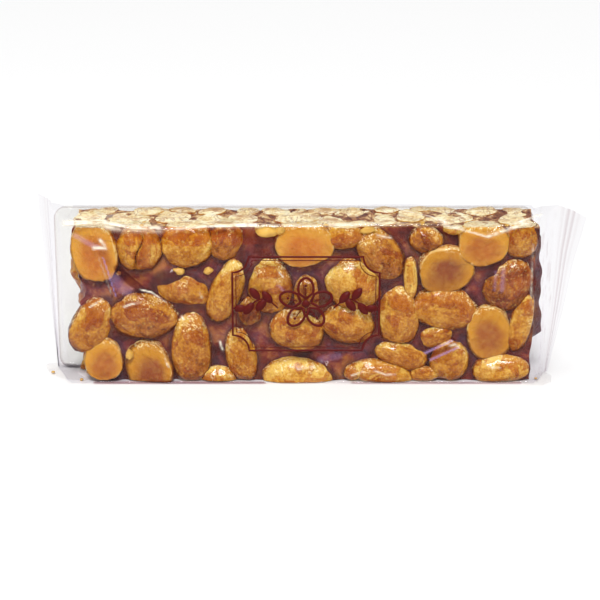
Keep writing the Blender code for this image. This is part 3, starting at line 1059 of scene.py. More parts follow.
# Painted highlights on the film, white lines along its folds and ridge: points as above, half width
# and strength.
HIGHLIGHT_FOLDS = (
    (((-74, 51.6), (-66.0, 51.4), (-62.4, 52.4)), 0.75, 0.95),
    (((-62.4, 52.2), (-60.5, 50.9), (-54, 50.5), (-45, 50.2)), 1.15, 1.00),
    (((-63.0, 46.4), (-61.9, 45.0)), 0.50, 0.80),
    (((-65.2, 44.2), (-61.6, 43.9)), 0.45, 0.75),
    (((-65.4, 43.5), (-63.8, 43.9), (-61.8, 44.0)), 0.30, 0.90),
    (((-66.0, 54.5), (-58.0, 56.0)), 2.2, 0.30),
    (((-45, 50.2), (-38.8, 50.3), (-29.7, 50.9), (-20, 51.1), (-16, 51.0)), 0.70, 0.95),
    (((-14, 51.0), (0, 50.9), (20, 51.2), (30, 51.4)), 0.30, 0.40),
    (((21.0, 47.8), (25.0, 47.2)), 0.35, 0.70),
    (((27, 63), (40, 51.5), (54.2, 47.6)), 0.30, 0.70),
    (((54.2, 47.6), (61, 49.9), (67.5, 52.2), (71, 56)), 0.48, 0.90),
    (((-63.8, 41.4), (-60.2, 29.5)), 0.22, 0.22),
    (((68.5, 26.0), (68.2, 33.0), (68.2, 45.0)), 0.30, 0.35),
    # Painted glints.
    (((-51.6, 30.8), (-48.0, 30.0), (-43.9, 26.9)), 0.20, 0.95),
    (((-56.5, 25.3), (-54.0, 26.2), (-51.2, 26.7)), 0.28, 0.80),
    (((-67.0, 25.2), (-63.2, 27.6)), 0.22, 0.70),
    (((-38.7, 22.0), (-38.4, 21.2)), 0.35, 0.85),
    (((-27.2, 14.0), (-26.4, 11.4)), 0.32, 0.75),
    (((-44.3, 8.4), (-43.4, 5.9)), 0.24, 0.80),
    (((-33.2, 29.6), (-32.6, 28.4)), 0.30, 0.60),
    (((-3.2, 5.0), (1.6, 5.9)), 0.34, 0.60),
    (((43.8, 12.6), (45.4, 13.2), (46.4, 12.5)), 0.32, 0.90),
    (((55.6, 6.4), (57.2, 5.6), (59.4, 5.4)), 0.34, 0.75),
    (((20.4, 4.6), (24.2, 3.2), (27.0, 3.4)), 0.30, 0.60),
    (((-8.9, 36.2), (-7.7, 34.9)), 0.28, 0.80),
    (((13.6, 2.9), (17.2, 4.4)), 0.26, 0.60),
)
# Where a fold carries a painted lilac highlight: points as above, half width and strength.
LILAC_HIGHLIGHT_FOLDS = (
    (((36.1, 10.3), (44.4, 14.4)), 0.34, 0.62),
    (((37.9, 8.1), (46.3, 12.2)), 0.34, 0.55),
    (((57.0, 30.6), (57.2, 36.5)), 0.45, 0.20),
    (((59.3, 30.6), (59.5, 37.5)), 0.70, 0.22),
    (((-62.4, 41.0), (-58.8, 28.6)), 0.24, 0.45),
    (((-70.6, 47.8), (-66.0, 45.0), (-63.8, 44.2)), 0.80, 0.22),
    (((-59.4, 34.4), (-57.2, 31.4), (-55.4, 30.4)), 1.7, 0.20),
    (((-9.0, 32.0), (-7.6, 30.4)), 0.5, 0.20),
    (((4.0, 8.2), (9.4, 9.4)), 1.2, 0.14),
)
# Painted shade where a fold hides the light, and a painted contact shadow along the bar's foot: points
# as above, half width and strength.
PAINTED_SHADE_LINES = (
    (((-58.1, 37.4), (-54.6, 33.4), (-51.4, 30.7)), 1.15, 0.85),
    (((-58.2, 38.4), (-50.2, 31.2)), 0.32, 0.95),
    (((-61.9, 33.9), (-59.9, 28.6)), 0.26, 0.80),
    (((-60.4, 33.5), (-58.6, 28.8)), 0.26, 0.80),
    (((-51.9, 31.3), (-47.9, 30.6), (-43.6, 27.3)), 0.24, 0.85),
    (((-62.6, 42.4), (-60.2, 38.6)), 1.1, 0.18),
    (((37.0, 9.2), (45.4, 13.3)), 0.80, 0.60),
    # Painted contact shadow along the bar's foot.
    (((-66, 0.2), (-45, 0.3), (-14, 0.2)), 0.75, 0.80),
    (((14, 0.2), (40, 0.3), (66, 0.2)), 0.60, 0.65),
)
# Heights of the film's top front ridge along the bar.
RIDGE_X = (-74, -62.4, -54, -45, -38.8, -29.7, -20, 0, 20, 40, 54, 67, 71)
RIDGE_Z = (51.6, 52.3, 50.6, 50.2, 50.3, 50.9, 51.1, 50.9, 51.2, 51.5, 50.6, 52.2, 52.8)
# How far the film's front is ahead of the bar's, and the heights over which it leans back
# under its ridge and at its foot.
FILM_GAP = 0.00055
LEAN_HEIGHT = 0.0052
FOOT_HEIGHT = 0.003


def distance_to_line(x, q, start, end):
    run_x = end[0] - start[0]
    run_q = end[1] - start[1]
    share = ((x - start[0]) * run_x + (q - start[1]) * run_q) / (run_x**2 + run_q**2)
    share = np.clip(share, 0, 1)
    return np.hypot(x - start[0] - share * run_x, q - start[1] - share * run_q)


def fold_lines(x, q, folds, power=2):
    """The strongest of these folds at x and the unrolled height q. A high power has crisp edges."""
    total = np.zeros_like(x)
    for points, width, strength in folds:
        near = np.full_like(x, 99.0)
        for start, end in zip(points, points[1:]):
            near = np.minimum(near, distance_to_line(x / MM, q / MM, start, end))
        total = np.maximum(total, strength * np.exp(-((near / width) ** power)))
    return total


def fold_height(x, q):
    """How far the folds lift the film, in metres."""
    return fold_lines(x, q, FOLDS) * MM


def film_front(x, z):
    """The film's front, a little ahead of the crowns, leaning back under its top ridge."""
    ridge = np.interp(x / MM, RIDGE_X, RIDGE_Z) * MM
    lean = np.clip((z - (ridge - LEAN_HEIGHT)) / LEAN_HEIGHT, 0, 1) ** 2 * 0.0011
    foot = np.clip((FOOT_HEIGHT - z) / FOOT_HEIGHT, 0, 1) ** 2 * 0.0008
    loose = waves(x, z, 31, (0.034, 0.015), (0.00010, 0.00004))
    return BAR_FRONT - FILM_GAP + lean + foot + loose - fold_height(x, z)


def film_station(share, stations):
    """The film's lowest and highest points and half thickness, this far along its end."""
    steps = [row[0] for row in stations]
    columns = [[value for part in row[1:3] for value in part] + [row[3]] for row in stations]
    values = np.array(columns, dtype=float) * MM
    return [np.interp(share, steps, values[:, i]) for i in range(7)]


# Stations of the film past the bar's ends: how far along, lowest and highest point, half
# thickness. In mm.
LEFT_FILM = (
    (0.0, (-73.6, 1.65, 0.1), (-73.6, 1.65, 51.6), 9.5),
    (0.3, (-76.6, 5.4, 0.1), (-77.0, 5.4, 53.0), 5.7),
    (0.55, (-79.2, 8.6, 0.1), (-80.0, 8.6, 53.6), 2.45),
    (0.7, (-79.8, 9.0, 0.3), (-81.2, 8.6, 55.4), 0.3),
    (1.0, (-80.0, 9.3, 0.5), (-84.0, 8.0, 57.0), 0.12),
)
RIGHT_FILM = (
    (0.0, (70.2, 1.65, 0.1), (70.2, 1.65, 52.2), 9.5),
    (0.2, (72.0, 1.7, 0.2), (72.6, 1.7, 53.4), 6.0),
    (0.4, (73.8, 1.8, 0.4), (75.0, 1.8, 54.4), 2.2),
    (0.52, (74.6, 1.8, 0.8), (76.7, 1.8, 55.0), 0.25),
    (0.75, (75.1, 1.7, 1.0), (80.4, -2.4, 54.7), 0.15),
    (1.0, (75.7, 1.5, 1.2), (84.0, -6.2, 53.4), 0.12),
)
SEAM_RIBS = 6
# The share of the film's half length that lies over the bar.
BAR_SHARE = 0.86
# The height of the film's ridge when it is unrolled, and of the film over the tray's rim.
RIDGE_LEVEL = 0.051
RIM_LEVEL = 0.0533
# Points round the film's section: up the front, back over the top, down the back, and
# forward underneath. Then the steps along it.
LOOP_POINTS = (124, 48, 40, 28)
FILM_STEPS = 330


def unit_loop():
    """Depth from -1 to 1 and height from 0 to 1 at the points round the film's section."""
    ends = np.cumsum((0, *LOOP_POINTS))
    walk = np.arange(ends[-1])
    return np.interp(walk, ends, (-1, -1, 1, 1, -1)), np.interp(walk, ends, (0, 1, 1, 0, 0))


def film_point(along, depth, height):
    """A point of the film, from its place along the pack and round its section."""
    end_left = np.clip((-along - BAR_SHARE) / (1 - BAR_SHARE), 0, 1)
    end_right = np.clip((along - BAR_SHARE) / (1 - BAR_SHARE), 0, 1)
    share = np.clip((along + BAR_SHARE) / (2 * BAR_SHARE), 0, 1)
    stations = zip(film_station(end_left, LEFT_FILM), film_station(end_right, RIGHT_FILM))
    values = [left * (1 - share) + right * share for left, right in stations]
    low, high, half = values[:3], values[3:6], values[6]
    ridge = np.interp((low[0] + high[0]) / 2 / MM, RIDGE_X, RIDGE_Z) * MM
    # Over the bar the film rises from its front ridge to the top of the tray.
    over_bar = (end_left == 0) & (end_right == 0)
    rising = ridge + (RIM_LEVEL - ridge) * ((depth + 1) / 2) ** 0.7
    top = np.where(over_bar, rising, high[2])
    x = low[0] * (1 - height) + high[0] * height
    z = low[2] * (1 - height) + top * height
    y = low[1] * (1 - height) + high[1] * height + half * depth
    return x, y, z, np.maximum(end_left, end_right)


class FilmGrid(NamedTuple):
    """The film's points, by their place along the pack and round its section.

    Over is 1 over the bar, loose where the film is slack and seam in a seam. Ribs runs from -1
    to 1 across a seam's ribs. Depth and height say where a point is in the section.
    """

    x: np.ndarray
    y: np.ndarray
    z: np.ndarray
    depth: np.ndarray
    height: np.ndarray
    over: np.ndarray
    loose: np.ndarray
    seam: np.ndarray
    ribs: np.ndarray


def film_grid():
    """Lays the film over the bar, slack past its ends and ribbed at its seams."""
    loop_depth, loop_height = unit_loop()
    along, depth = np.meshgrid(np.linspace(-1, 1, FILM_STEPS + 1), loop_depth, indexing="ij")
    height = np.broadcast_to(loop_height, depth.shape)
    x, y, z, ends = film_point(along, depth, height)
    # The corners of the section are rounded by averaging round the loop.
    for _ in range(5):
        x, y, z = [(np.roll(g, 1, 1) + 2 * g + np.roll(g, -1, 1)) / 4 for g in (x, y, z)]
    # The front and the top are laid over the bar, with the film's folds.
    over = 1 - smooth_step(ends * 3.0)
    front = (depth < -0.999) & (height > 0.01) & (height < 0.99)
    y = np.where(front, y * (1 - over) + film_front(x, z) * over, y)
    top = (height > 0.999) & (np.abs(depth) < 0.98)
    unrolled = RIDGE_LEVEL + (y - BAR_FRONT)
    lift = fold_height(x, unrolled) + waves(x, y, 35, (0.02, 0.008), (0.0002, 0.00008))
    z = np.where(top, z + lift * over, z)
    # Slack film at the ends, and the ribs pressed into each seam.
    loose = smooth_step(ends * 4) * (1 - smooth_step((ends - 0.45) * 6))
    y = y + waves(x + y, z, 37, (0.016, 0.007), (0.0004, 0.00018)) * loose
    seam = smooth_step((ends - 0.5) * 12)
    ribs = np.sin(np.clip((ends - 0.52) / 0.48, 0, 1) * SEAM_RIBS * 2 * math.pi)
    pressed = ribs * 0.00022
    wander = waves(x, z, 39, (0.03, 0.012), (0.0008, 0.0003))
    y = y + seam * (pressed + wander * height)
    x = x + seam * pressed * 0.7
    return FilmGrid(x, y, z, depth, height, over, loose, seam, ribs)


def shown_film(film):
    """Which points are over the bar's front or top, and their heights on the unrolled film."""
    on_top = film.height > 0.999
    shown = (film.depth < -0.9) | (on_top & (film.depth < 0.98))
    up = np.where(on_top, RIDGE_LEVEL + np.maximum(film.y - BAR_FRONT, 0), film.z)
    return shown * film.over, up


def painted_highlights_of(film):
    """Where the film has painted white highlights along its folds and ridge, and painted glints."""
    shown, up = shown_film(film)
    broken = 0.75 + 1000 * waves(film.x, up, 43, (0.006, 0.002), (0.0003, 0.0003))
    return fold_lines(film.x, up, HIGHLIGHT_FOLDS) * np.clip(broken, 0.2, 1) * shown


def shade_of(film):
    """Painted shade where folds, the seams' ribs and creases of slack film hide the light, and a
    painted contact shadow along the bar's foot.
    """
    shown, up = shown_film(film)
    dark = fold_lines(film.x, up, PAINTED_SHADE_LINES, 8) * shown
    lines = film.seam * np.clip(film.ribs, 0, 1) ** 4 * np.where(film.x > 0, 0.17, 0.05)
    # Painted shade of fine upright creases where the slack film runs into the right seam.
    drift = 1200 * waves(film.x, film.z, 51, (0.03, 0.012), (0.002, 0.0006))
    upright = np.sin(2 * math.pi * film.x / 0.0016 + drift)
    patchy = np.clip(0.4 + waves(film.x, film.z, 53, (0.02, 0.007), (0.6, 0.6)), 0, 1)
    creases = np.clip(upright, 0, 1) ** 8 * patchy * 0.20 * film.loose * (film.x > 0)
    return np.maximum(np.maximum(lines, creases), dark)


def mauve_reflection_of(film, food):
    """The painted mauve reflection of film that stands off the bar between the almonds, and the
    painted lilac highlights of its folds.
    """
    shown, up = shown_film(film)
    # Painted reflection where the film stands off the bar below its ridge.
    painted_reflection = smooth_step((0.0453 - film.z) / 0.0006) * (film.depth < -0.9) * film.over
    painted_reflection = painted_reflection * (0.1 + 0.9 * smooth_step(gap_from_almonds(film.x, film.z, food) / 0.0014))
    uneven = np.clip(0.55 + waves(film.x, film.z, 47, (0.018, 0.008), (0.5, 0.4)), 0, 1)
    return np.maximum(painted_reflection * 0.045 * uneven, fold_lines(film.x, up, LILAC_HIGHLIGHT_FOLDS, 4) * shown)


def make_film(settings, food):
    """The clear film: a sleeve round the bar and tray that closes to a crimped seam at each end."""
    around = sum(LOOP_POINTS)
    bm = bmesh.new()
    bmesh.ops.create_cone(
        bm, cap_ends=True, segments=around, radius1=1.0, radius2=1.0, depth=2.0
    )
    split_along(bm, 2, FILM_STEPS - 1)
    layers = [bm.verts.layers.float.new(name) for name in ("milk", "shade", "veil")]
    verts = bm.verts[:]
    places = np.array([vert.co for vert in verts])
    angle = np.arctan2(places[:, 1], places[:, 0])
    column = np.round(angle / (2 * math.pi) * around).astype(int) % around
    row = np.round((places[:, 2] + 1) / 2 * FILM_STEPS).astype(int)
    film = film_grid()
    values = (film.x, film.y, film.z, painted_highlights_of(film), shade_of(film), mauve_reflection_of(film, food))
    table = np.stack(values, axis=-1)[row, column]
    for vert, entry in zip(verts, table):
        vert.co = entry[:3]
        for layer, value in zip(layers, entry[3:]):
            vert[layer] = value
    through = (0.962, 0.958, 0.966)
    clear = clear_material(
        "clear_film", settings.gloss, settings.haze, (1.0, 0.93, 0.76), through, 120.0
    )
    return finish_piece(bm, "clear_film", [clear], math.radians(70))


# Thickness of the film's corners and of the ink, and how far the ink is ahead of the film.
FILM_THICKNESS = 0.00006
INK_THICKNESS = 0.00003
INK_GAP = 0.00012
# The corners of film on the floor: rows of points from the bar's foot out to the edge. In mm.
LEFT_CORNER = (
    ((-70.5, 8.0), (-73.5, 4.0), (-72.0, -1.0), (-68.0, -6.8)),
    ((-77.0, 9.5), (-77.8, 5.0), (-75.2, -0.6), (-71.0, -6.6)),
    ((-81.0, 10.2), (-81.4, 6.4), (-79.2, 0.6), (-74.4, -5.2)),
    ((-83.0, 10.6), (-83.7, 7.0), (-81.6, 1.0), (-77.0, -4.4)),
)
RIGHT_CORNER = (
    ((73.6, 2.4), (72.0, -0.8), (69.4, -3.6), (66.4, -6.0)),
    ((74.6, 1.4), (73.6, -2.6), (70.8, -6.0), (66.6, -7.4)),
    ((75.6, 0.2), (74.8, -5.0), (71.8, -8.4), (66.8, -8.4)),
    ((76.6, -1.6), (75.6, -7.6), (72.6, -10.9), (67.6, -9.2)),
)


def make_film_corner(name, rows, material):
    """A corner of slack film that spreads over the floor, wavy and raised at its edge."""
    bm = bmesh.new()
    per_metre = 260
    bmesh.ops.create_grid(bm, x_segments=36, y_segments=24, size=1.0)
    table = np.array(rows, dtype=float) * MM
    for vert in bm.verts:
        side = (vert.co.x + 1) / 2 * (table.shape[1] - 1)
        reach = (vert.co.y + 1) / 2 * (table.shape[0] - 1)
        i = min(int(side), table.shape[1] - 2)
        j = min(int(reach), table.shape[0] - 2)
        s, t = side - i, reach - j
        near = table[j, i] * (1 - s) + table[j, i + 1] * s
        far = table[j + 1, i] * (1 - s) + table[j + 1, i + 1] * s
        x, y = near * (1 - t) + far * t
        edge = reach / (table.shape[0] - 1)
        ruffle = 0.5 + 0.5 * noise.noise(Vector((x * per_metre, y * per_metre, 3.0)))
        z = 0.0004 + 0.0011 * edge * ruffle + 0.0006 * (1 - edge)
        vert.co = (x, y, z)
    bmesh.ops.smooth_vert(
        bm, verts=bm.verts[:], factor=0.5, use_axis_x=True, use_axis_y=True, use_axis_z=True
    )
    piece = finish_piece(bm, name, [material])
    sheet = piece.modifiers.new("film_thickness", "SOLIDIFY")
    sheet.thickness = FILM_THICKNESS
    return piece


def make_film_corners(settings):
    clear = clear_material(
        "floor_film", settings.gloss, settings.haze * 3.0, (0.95, 0.93, 0.90),
        (0.985, 0.980, 0.975), 200.0,
    )
    make_film_corner("left_film_corner", LEFT_CORNER, clear)
    make_film_corner("right_film_corner", RIGHT_CORNER, clear)


def add_stroke(bm, points, width, closed=False):
    """Adds a flat stroke of this width along points of x and z."""
    path = [Vector(point) for point in points]
    if closed:
        path.append(path[0])
    count = len(path)
    made = bmesh.ops.create_grid(bm, x_segments=count - 1, y_segments=1, size=1.0)
    for vert in made["verts"]:
        i = round((vert.co.x + 1) / 2 * (count - 1))
        before = path[i - 1] if i > 0 else (path[-2] if closed else path[0])
        after = path[i + 1] if i < count - 1 else (path[1] if closed else path[-1])
        run = (after - before).normalized()
        side = Vector((-run.y, run.x)) * vert.co.y * width / 2
        vert.co = (path[i].x + side.x, 0, path[i].y + side.y)


def add_shape(bm, points):
    """Adds a filled outline."""
    made = bmesh.ops.create_circle(bm, cap_ends=True, segments=len(points), radius=1.0)
    order = sorted(made["verts"], key=lambda vert: math.atan2(vert.co.y, vert.co.x) % math.tau)
    for vert, (x, z) in zip(order, points):
        vert.co = (x, 0, z)


def point_at(middle, angle, along, across=0.0):
    """The x and z of a point along and across a line that leaves the middle at an angle."""
    x = along * math.cos(angle) - across * math.sin(angle)
    z = along * math.sin(angle) + across * math.cos(angle)
    return middle[0] + x, middle[1] + z


def leaf_points(middle, length, width, angle=0.0, count=20):
    """The outline of a pointed leaf or, as wide as it is long, of a dot."""
    points = []
    for i in range(count):
        t = i / count * math.tau
        along = math.cos(t) * length / 2
        across = math.sin(t) * width / 2 * abs(math.sin(t)) ** 0.4
        points.append(point_at(middle, angle, along, across))
    return points


def frame_points(half_wide, half_high, notch, middle, steps=10):
    """A rectangle whose corners are hollowed by quarter circles."""
    points = []
    parts_wide, parts_high = 24, 16
    corners = ((1, 1), (-1, 1), (-1, -1), (1, -1))
    for number, (side, up) in enumerate(corners):
        turn = math.pi + number * math.pi / 2
        for i in range(steps + 1):
            t = turn + math.pi / 2 * (1 - i / steps)
            x = side * half_wide + notch * math.cos(t)
            z = up * half_high + notch * math.sin(t)
            points.append((middle[0] + x, middle[1] + z))
        following = corners[(number + 1) % 4]
        start = points[-1]
        if number % 2 == 0:
            end_x = middle[0] + following[0] * (half_wide - notch)
            for i in range(1, parts_wide):
                points.append((start[0] + (end_x - start[0]) * i / parts_wide, start[1]))
        else:
            end_z = middle[1] + following[1] * (half_high - notch)
            for i in range(1, parts_high):
                points.append((start[0], start[1] + (end_z - start[1]) * i / parts_high))
    return points


def petal_points(middle, inner, outer, width, angle, count=18):
    """The line round a petal, open towards the blossom's middle."""
    points = []
    for i in range(count + 1):
        t = i / count
        reach = inner + (outer - inner) * math.sin(math.pi * t) ** 0.75
        spread = (t - 0.5) * width * math.sin(math.pi * t) ** 0.35
        points.append(point_at(middle, angle, reach, spread))
    return points


def add_blossom(bm, middle):
    """Five petals, each with a vein and a dot, round a larger dot."""
    for number in range(5):
        angle = math.pi / 2 + number * math.tau / 5
        add_stroke(bm, petal_points(middle, 0.0016, 0.0083, 0.0088, angle), 0.00080)
        vein = [point_at(middle, angle, reach) for reach in (0.0027, 0.0036, 0.0045, 0.0052)]
        add_stroke(bm, vein, 0.00035)
        add_shape(bm, leaf_points(point_at(middle, angle, 0.0058), 0.0009, 0.0009))
    add_shape(bm, leaf_points(middle, 0.0026, 0.0026))


def add_sprig(bm, middle, side):
    """A bent stem with four leaves in turn and one at its tip, left or right of the blossom."""
    stem = []
    for i in range(16):
        t = i / 15
        x = middle[0] + side * (0.0085 + 0.0095 * t)
        stem.append((x, middle[1] - 0.0014 + 0.0030 * math.sin(math.pi * t)))
    add_stroke(bm, stem, 0.00050)
    for i, up in ((3, 1), (6, -1), (9, 1), (12, -1)):
        angle = math.pi / 2 - side * math.pi / 2 + side * up * 0.9
        add_shape(bm, leaf_points(point_at(stem[i], angle, 0.0023), 0.0048, 0.0026, angle))
    tip = (stem[-1][0] + side * 0.0021, stem[-1][1])
    add_shape(bm, leaf_points(tip, 0.0042, 0.0024))


def make_print(settings):
    """The print: a double frame round a five-petalled blossom and two leafy sprigs."""
    bm = bmesh.new()
    middle = (settings.print_x, settings.print_z)
    half_wide = settings.print_width / 2
    half_high = settings.print_height / 2
    notch = 0.0050
    for inset, width in ((0.0, 0.00062), (0.0011, 0.00026)):
        outline = frame_points(half_wide - inset, half_high - inset, notch, middle)
        add_stroke(bm, outline, width, True)
    add_blossom(bm, middle)
    for side in (-1, 1):
        add_sprig(bm, middle, side)
    bmesh.ops.remove_doubles(bm, verts=bm.verts[:], dist=0.01 * MM)
    x = np.array([vert.co.x for vert in bm.verts])
    z = np.array([vert.co.z for vert in bm.verts])
    for vert, y in zip(bm.verts, film_front(x, z) - INK_GAP):
        vert.co.y = y
    for face in bm.faces:
        face.normal_update()
        if face.normal.y > 0:
            face.normal_flip()
    piece = finish_piece(
        bm, "film_print", [print_material(settings)], recalculate=False
    )
    ink = piece.modifiers.new("ink_thickness", "SOLIDIFY")
    ink.thickness = INK_THICKNESS
    ink.offset = -1.0
    return piece


def length_setting(name, description, default, low=-0.1, high=1.0):
    return bpy.props.FloatProperty(
        name=name, description=description, default=default, min=low, max=high, unit="LENGTH",
    )


def colour_setting(name, description, default):
    return bpy.props.FloatVectorProperty(
        name=name, description=description, default=default, size=3, min=0, max=1,
        subtype="COLOR",
    )


class FoodSettings(bpy.types.PropertyGroup):
    relief: length_setting(
        "Relief", "How far the almonds stand out of the caramel", 0.0041, 0.001, 0.006,
    )
    thickness: length_setting(
        "Almond thickness", "From an almond's front to its back", 0.0100, 0.004, 0.014,
    )
    fullness: bpy.props.FloatProperty(
        name="Fullness", description="2 is an ellipsoid, and more has fuller ends",
        default=2.5, min=2.0, max=4.0,
    )
    flat_fullness: bpy.props.FloatProperty(
        name="Flat fullness", description="How much deeper a flattened almond is before the cut",
        default=1.7, min=1.0, max=2.0,
    )
    crease: length_setting(
        "Crease", "How softly a flat face turns into the almond's side", 0.0004, 0.0001, 0.002,
    )
    taper: bpy.props.FloatProperty(
        name="Taper", description="How much narrower an almond's tip is than its blunt end",
        default=0.20, min=0.0, max=0.6, subtype="FACTOR",
    )
    meniscus: length_setting(
        "Meniscus", "Height of the caramel's rise against an almond", 0.0006, 0.0, 0.003,
    )
    fillet: length_setting(
        "Meniscus width", "Width of the caramel's rise against an almond", 0.0011, 0.0002, 0.004,
    )
    back_rise: length_setting(
        "Rise of the back", "How much higher the top is at the back", 0.0027, 0.0, 0.003,
    )
    deep: colour_setting("Deep caramel", "Colour of thick caramel", (0.055, 0.005, 0.004))
    body: colour_setting("Caramel", "Colour of the caramel between the almonds", (0.185, 0.024, 0.012))
    thin: colour_setting(
        "Thin caramel", "Colour of caramel thinned out against an almond", (0.430, 0.150, 0.028),
    )
    almond_dark: colour_setting("Almond, dark", "Colour of an almond's rim", (0.110, 0.017, 0.002))
    almond_mid: colour_setting("Almond, middle", "Colour of most of an almond", (0.370, 0.108, 0.006))
    almond_gold: colour_setting(
        "Almond, gold", "Colour of an almond's golden patches", (0.570, 0.250, 0.018),
    )
    almond_pale: colour_setting(
        "Almond, pale", "Colour of an almond's palest patches", (0.810, 0.540, 0.110),
    )
    facet_brown: colour_setting(
        "Flat face, brown", "Colour of the browner flat faces of almonds", (0.250, 0.055, 0.014),
    )
    facet_amber: colour_setting(
        "Flat face, rim", "Colour round the paler flat faces", (0.700, 0.330, 0.040),
    )
    facet_peach: colour_setting(
        "Flat face, pale", "Colour of the paler flat faces of almonds", (0.560, 0.165, 0.020),
    )
    sawn_white: colour_setting(
        "Sawn almond, pale", "Palest colour of a sawn almond", (0.960, 0.880, 0.600),
    )
    sawn_cream: colour_setting("Sawn almond", "Colour of a sawn almond", (0.880, 0.720, 0.380))
    sawn_tan: colour_setting(
        "Sawn almond, dark", "Darkest colour of a sawn almond", (0.600, 0.340, 0.120),
    )


class WrapSettings(bpy.types.PropertyGroup):
    corner: length_setting("Tray corner", "Radius of the tray's corners", 0.0035, 0.001, 0.01)
    lip: length_setting("Tray lip", "Depth of the tray's lip", 0.0030, 0.001, 0.008)
    sheet: length_setting("Tray sheet", "Thickness of the tray's plastic", 0.0005, 0.0002, 0.001)
    gloss: bpy.props.FloatProperty(
        name="Film gloss", description="Share of light that the film mirrors face on",
        default=0.008, min=0.0, max=0.5, subtype="FACTOR",
    )
    haze: bpy.props.FloatProperty(
        name="Film haze", description="Share of the film that is milky",
        default=0.002, min=0.0, max=0.5, subtype="FACTOR",
    )
    print_x: length_setting("Print across", "Place of the print's middle along the bar", -0.0007)
    print_z: length_setting("Print height", "Height of the print's middle", 0.0262)
    print_width: length_setting("Print width", "Width of the print's frame", 0.0450, 0.01, 0.1)
    print_height: length_setting("Print tall", "Height of the print's frame", 0.0300, 0.01, 0.045)
    ink: colour_setting("Ink", "Colour of the print", (0.105, 0.008, 0.007))


class StageSettings(bpy.types.PropertyGroup):
    floor: colour_setting("Floor", "Colour of the floor", (0.93, 0.93, 0.93))
    elevation: bpy.props.FloatProperty(
        name="Camera elevation", description="How far above the level the camera looks from",
        default=math.radians(17.0), subtype="ANGLE",
    )
    distance: length_setting("Camera distance", "From the camera to the bar's front", 0.520)
    lens: bpy.props.FloatProperty(
        name="Lens", description="Focal length, on a sensor 36 mm wide",
        default=101.7, unit="CAMERA",
    )


def add_light(name, place, target, size, power):
    light = bpy.data.lights.new(name, "AREA")
    light.shape = "RECTANGLE"
    light.size, light.size_y = size
    light.energy = power
    lamp = add_object(name, light)
    lamp.location = place
    lamp.rotation_euler = (Vector(target) - Vector(place)).to_track_quat("-Z", "Y").to_euler()


# The point of the bar's front that the camera is aimed at.
AIM = (-0.0025, BAR_FRONT, 0.0273)


def make_stage(settings):
    """A plain pale floor, soft lights and the camera."""
    bm = bmesh.new()
    bmesh.ops.create_grid(bm, x_segments=1, y_segments=1, size=4.0)
    mesh = mesh_of(bm, "floor")
    mesh.materials.append(floor_material(settings))
    floor = add_object("floor", mesh)

    middle = (0, 0, 0.025)
    add_light("overhead_softbox", (-0.10, -0.15, 0.80), middle, (0.35, 0.25), 0.9)
    add_light("left_softbox", (-0.75, -0.60, 0.45), middle, (0.30, 0.40), 0.5)
    sun = bpy.data.lights.new("key", "SUN")
    sun.energy = 2.5
    sun.angle = math.radians(18)
    key = add_object("key", sun)
    key.rotation_euler = Vector((0.0, 0.62, -0.79)).to_track_quat("-Z", "Y").to_euler()

    world = bpy.data.worlds.new("studio_air")
    world.use_nodes = True
    background = world.node_tree.nodes["Background"]
    background.inputs["Color"].default_value = (1, 1, 1, 1)
    background.inputs["Strength"].default_value = 0.45
    bpy.context.scene.world = world

    data = bpy.data.cameras.new("camera")
    data.lens = settings.lens
    data.sensor_width = 36.0
    camera = add_object("camera", data)
    target = Vector(AIM)
    tilt = settings.elevation
    camera.location = target + Vector((0, -math.cos(tilt), math.sin(tilt))) * settings.distance
    camera.rotation_euler = Euler((math.pi / 2 - tilt, 0, 0))
    bpy.context.scene.camera = camera
    bpy.context.scene.view_settings.view_transform = "Standard"


class NOUGAT_OT_caramel(bpy.types.Operator):
    """Make the caramel that holds the almonds"""

    bl_idname = "nougat.caramel"
    bl_label = "Caramel"

    def execute(self, context):
        make_caramel(context.scene.nougat_food)
        return {"FINISHED"}


class NOUGAT_OT_front_almonds(bpy.types.Operator):
    """Make the whole almonds of the front"""

    bl_idname = "nougat.front_almonds"
    bl_label = "Front almonds"

    def execute(self, context):
        make_front_almonds(context.scene.nougat_food)
        return {"FINISHED"}


class NOUGAT_OT_inner_almonds(bpy.types.Operator):
    """Make the sawn almonds of the top and bottom and those of the ends and back"""

    bl_idname = "nougat.inner_almonds"
    bl_label = "Sawn and back almonds"

    def execute(self, context):
        make_top_almonds(context.scene.nougat_food)
        make_back_almonds(context.scene.nougat_food)
        return {"FINISHED"}


class NOUGAT_OT_crumbs(bpy.types.Operator):
    """Make the chips and crumbs of almond"""

    bl_idname = "nougat.crumbs"
    bl_label = "Crumbs"

    def execute(self, context):
        make_crumbs(context.scene.nougat_food)
        return {"FINISHED"}


class NOUGAT_OT_tray(bpy.types.Operator):
    """Make the clear tray"""

    bl_idname = "nougat.tray"
    bl_label = "Tray"

    def execute(self, context):
        make_tray(context.scene.nougat_wrap)
        return {"FINISHED"}


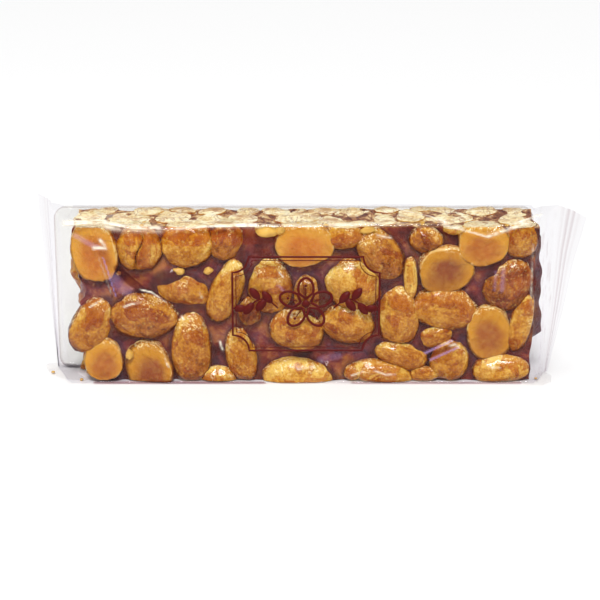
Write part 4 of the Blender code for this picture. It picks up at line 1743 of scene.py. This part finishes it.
class NOUGAT_OT_film(bpy.types.Operator):
    """Make the clear film with its seams and its corners on the floor"""

    bl_idname = "nougat.film"
    bl_label = "Film"

    def execute(self, context):
        make_film(context.scene.nougat_wrap, context.scene.nougat_food)
        make_film_corners(context.scene.nougat_wrap)
        return {"FINISHED"}


class NOUGAT_OT_print(bpy.types.Operator):
    """Make the print on the film's front"""

    bl_idname = "nougat.print"
    bl_label = "Print"

    def execute(self, context):
        make_print(context.scene.nougat_wrap)
        return {"FINISHED"}


class NOUGAT_OT_stage(bpy.types.Operator):
    """Make the floor, the lights and the camera"""

    bl_idname = "nougat.stage"
    bl_label = "Stage"

    def execute(self, context):
        make_stage(context.scene.nougat_stage)
        return {"FINISHED"}


OPERATORS = (
    NOUGAT_OT_caramel,
    NOUGAT_OT_front_almonds,
    NOUGAT_OT_inner_almonds,
    NOUGAT_OT_crumbs,
    NOUGAT_OT_tray,
    NOUGAT_OT_film,
    NOUGAT_OT_print,
    NOUGAT_OT_stage,
)
GROUPS = {"nougat_food": FoodSettings, "nougat_wrap": WrapSettings, "nougat_stage": StageSettings}


class NOUGAT_PT_panel(bpy.types.Panel):
    """The nougat bar's settings and pieces"""

    bl_idname = "NOUGAT_PT_panel"
    bl_label = "Nougat bar"
    bl_space_type = "VIEW_3D"
    bl_region_type = "UI"
    bl_category = "Nougat"

    def draw(self, context):
        for name, group in GROUPS.items():
            box = self.layout.box()
            for key in group.__annotations__:
                box.prop(getattr(context.scene, name), key)
        for operator in OPERATORS:
            self.layout.operator(operator.bl_idname)


def register():
    for item in (*GROUPS.values(), *OPERATORS, NOUGAT_PT_panel):
        bpy.utils.register_class(item)
    for name, group in GROUPS.items():
        setattr(bpy.types.Scene, name, bpy.props.PointerProperty(type=group))


def unregister():
    for name in GROUPS:
        delattr(bpy.types.Scene, name)
    for item in (NOUGAT_PT_panel, *OPERATORS, *GROUPS.values()):
        bpy.utils.unregister_class(item)


def main():
    register()
    bpy.ops.nougat.caramel()
    bpy.ops.nougat.front_almonds()
    bpy.ops.nougat.inner_almonds()
    bpy.ops.nougat.crumbs()
    bpy.ops.nougat.tray()
    bpy.ops.nougat.film()
    bpy.ops.nougat.print()
    bpy.ops.nougat.stage()


if __name__ == "__main__":
    main()
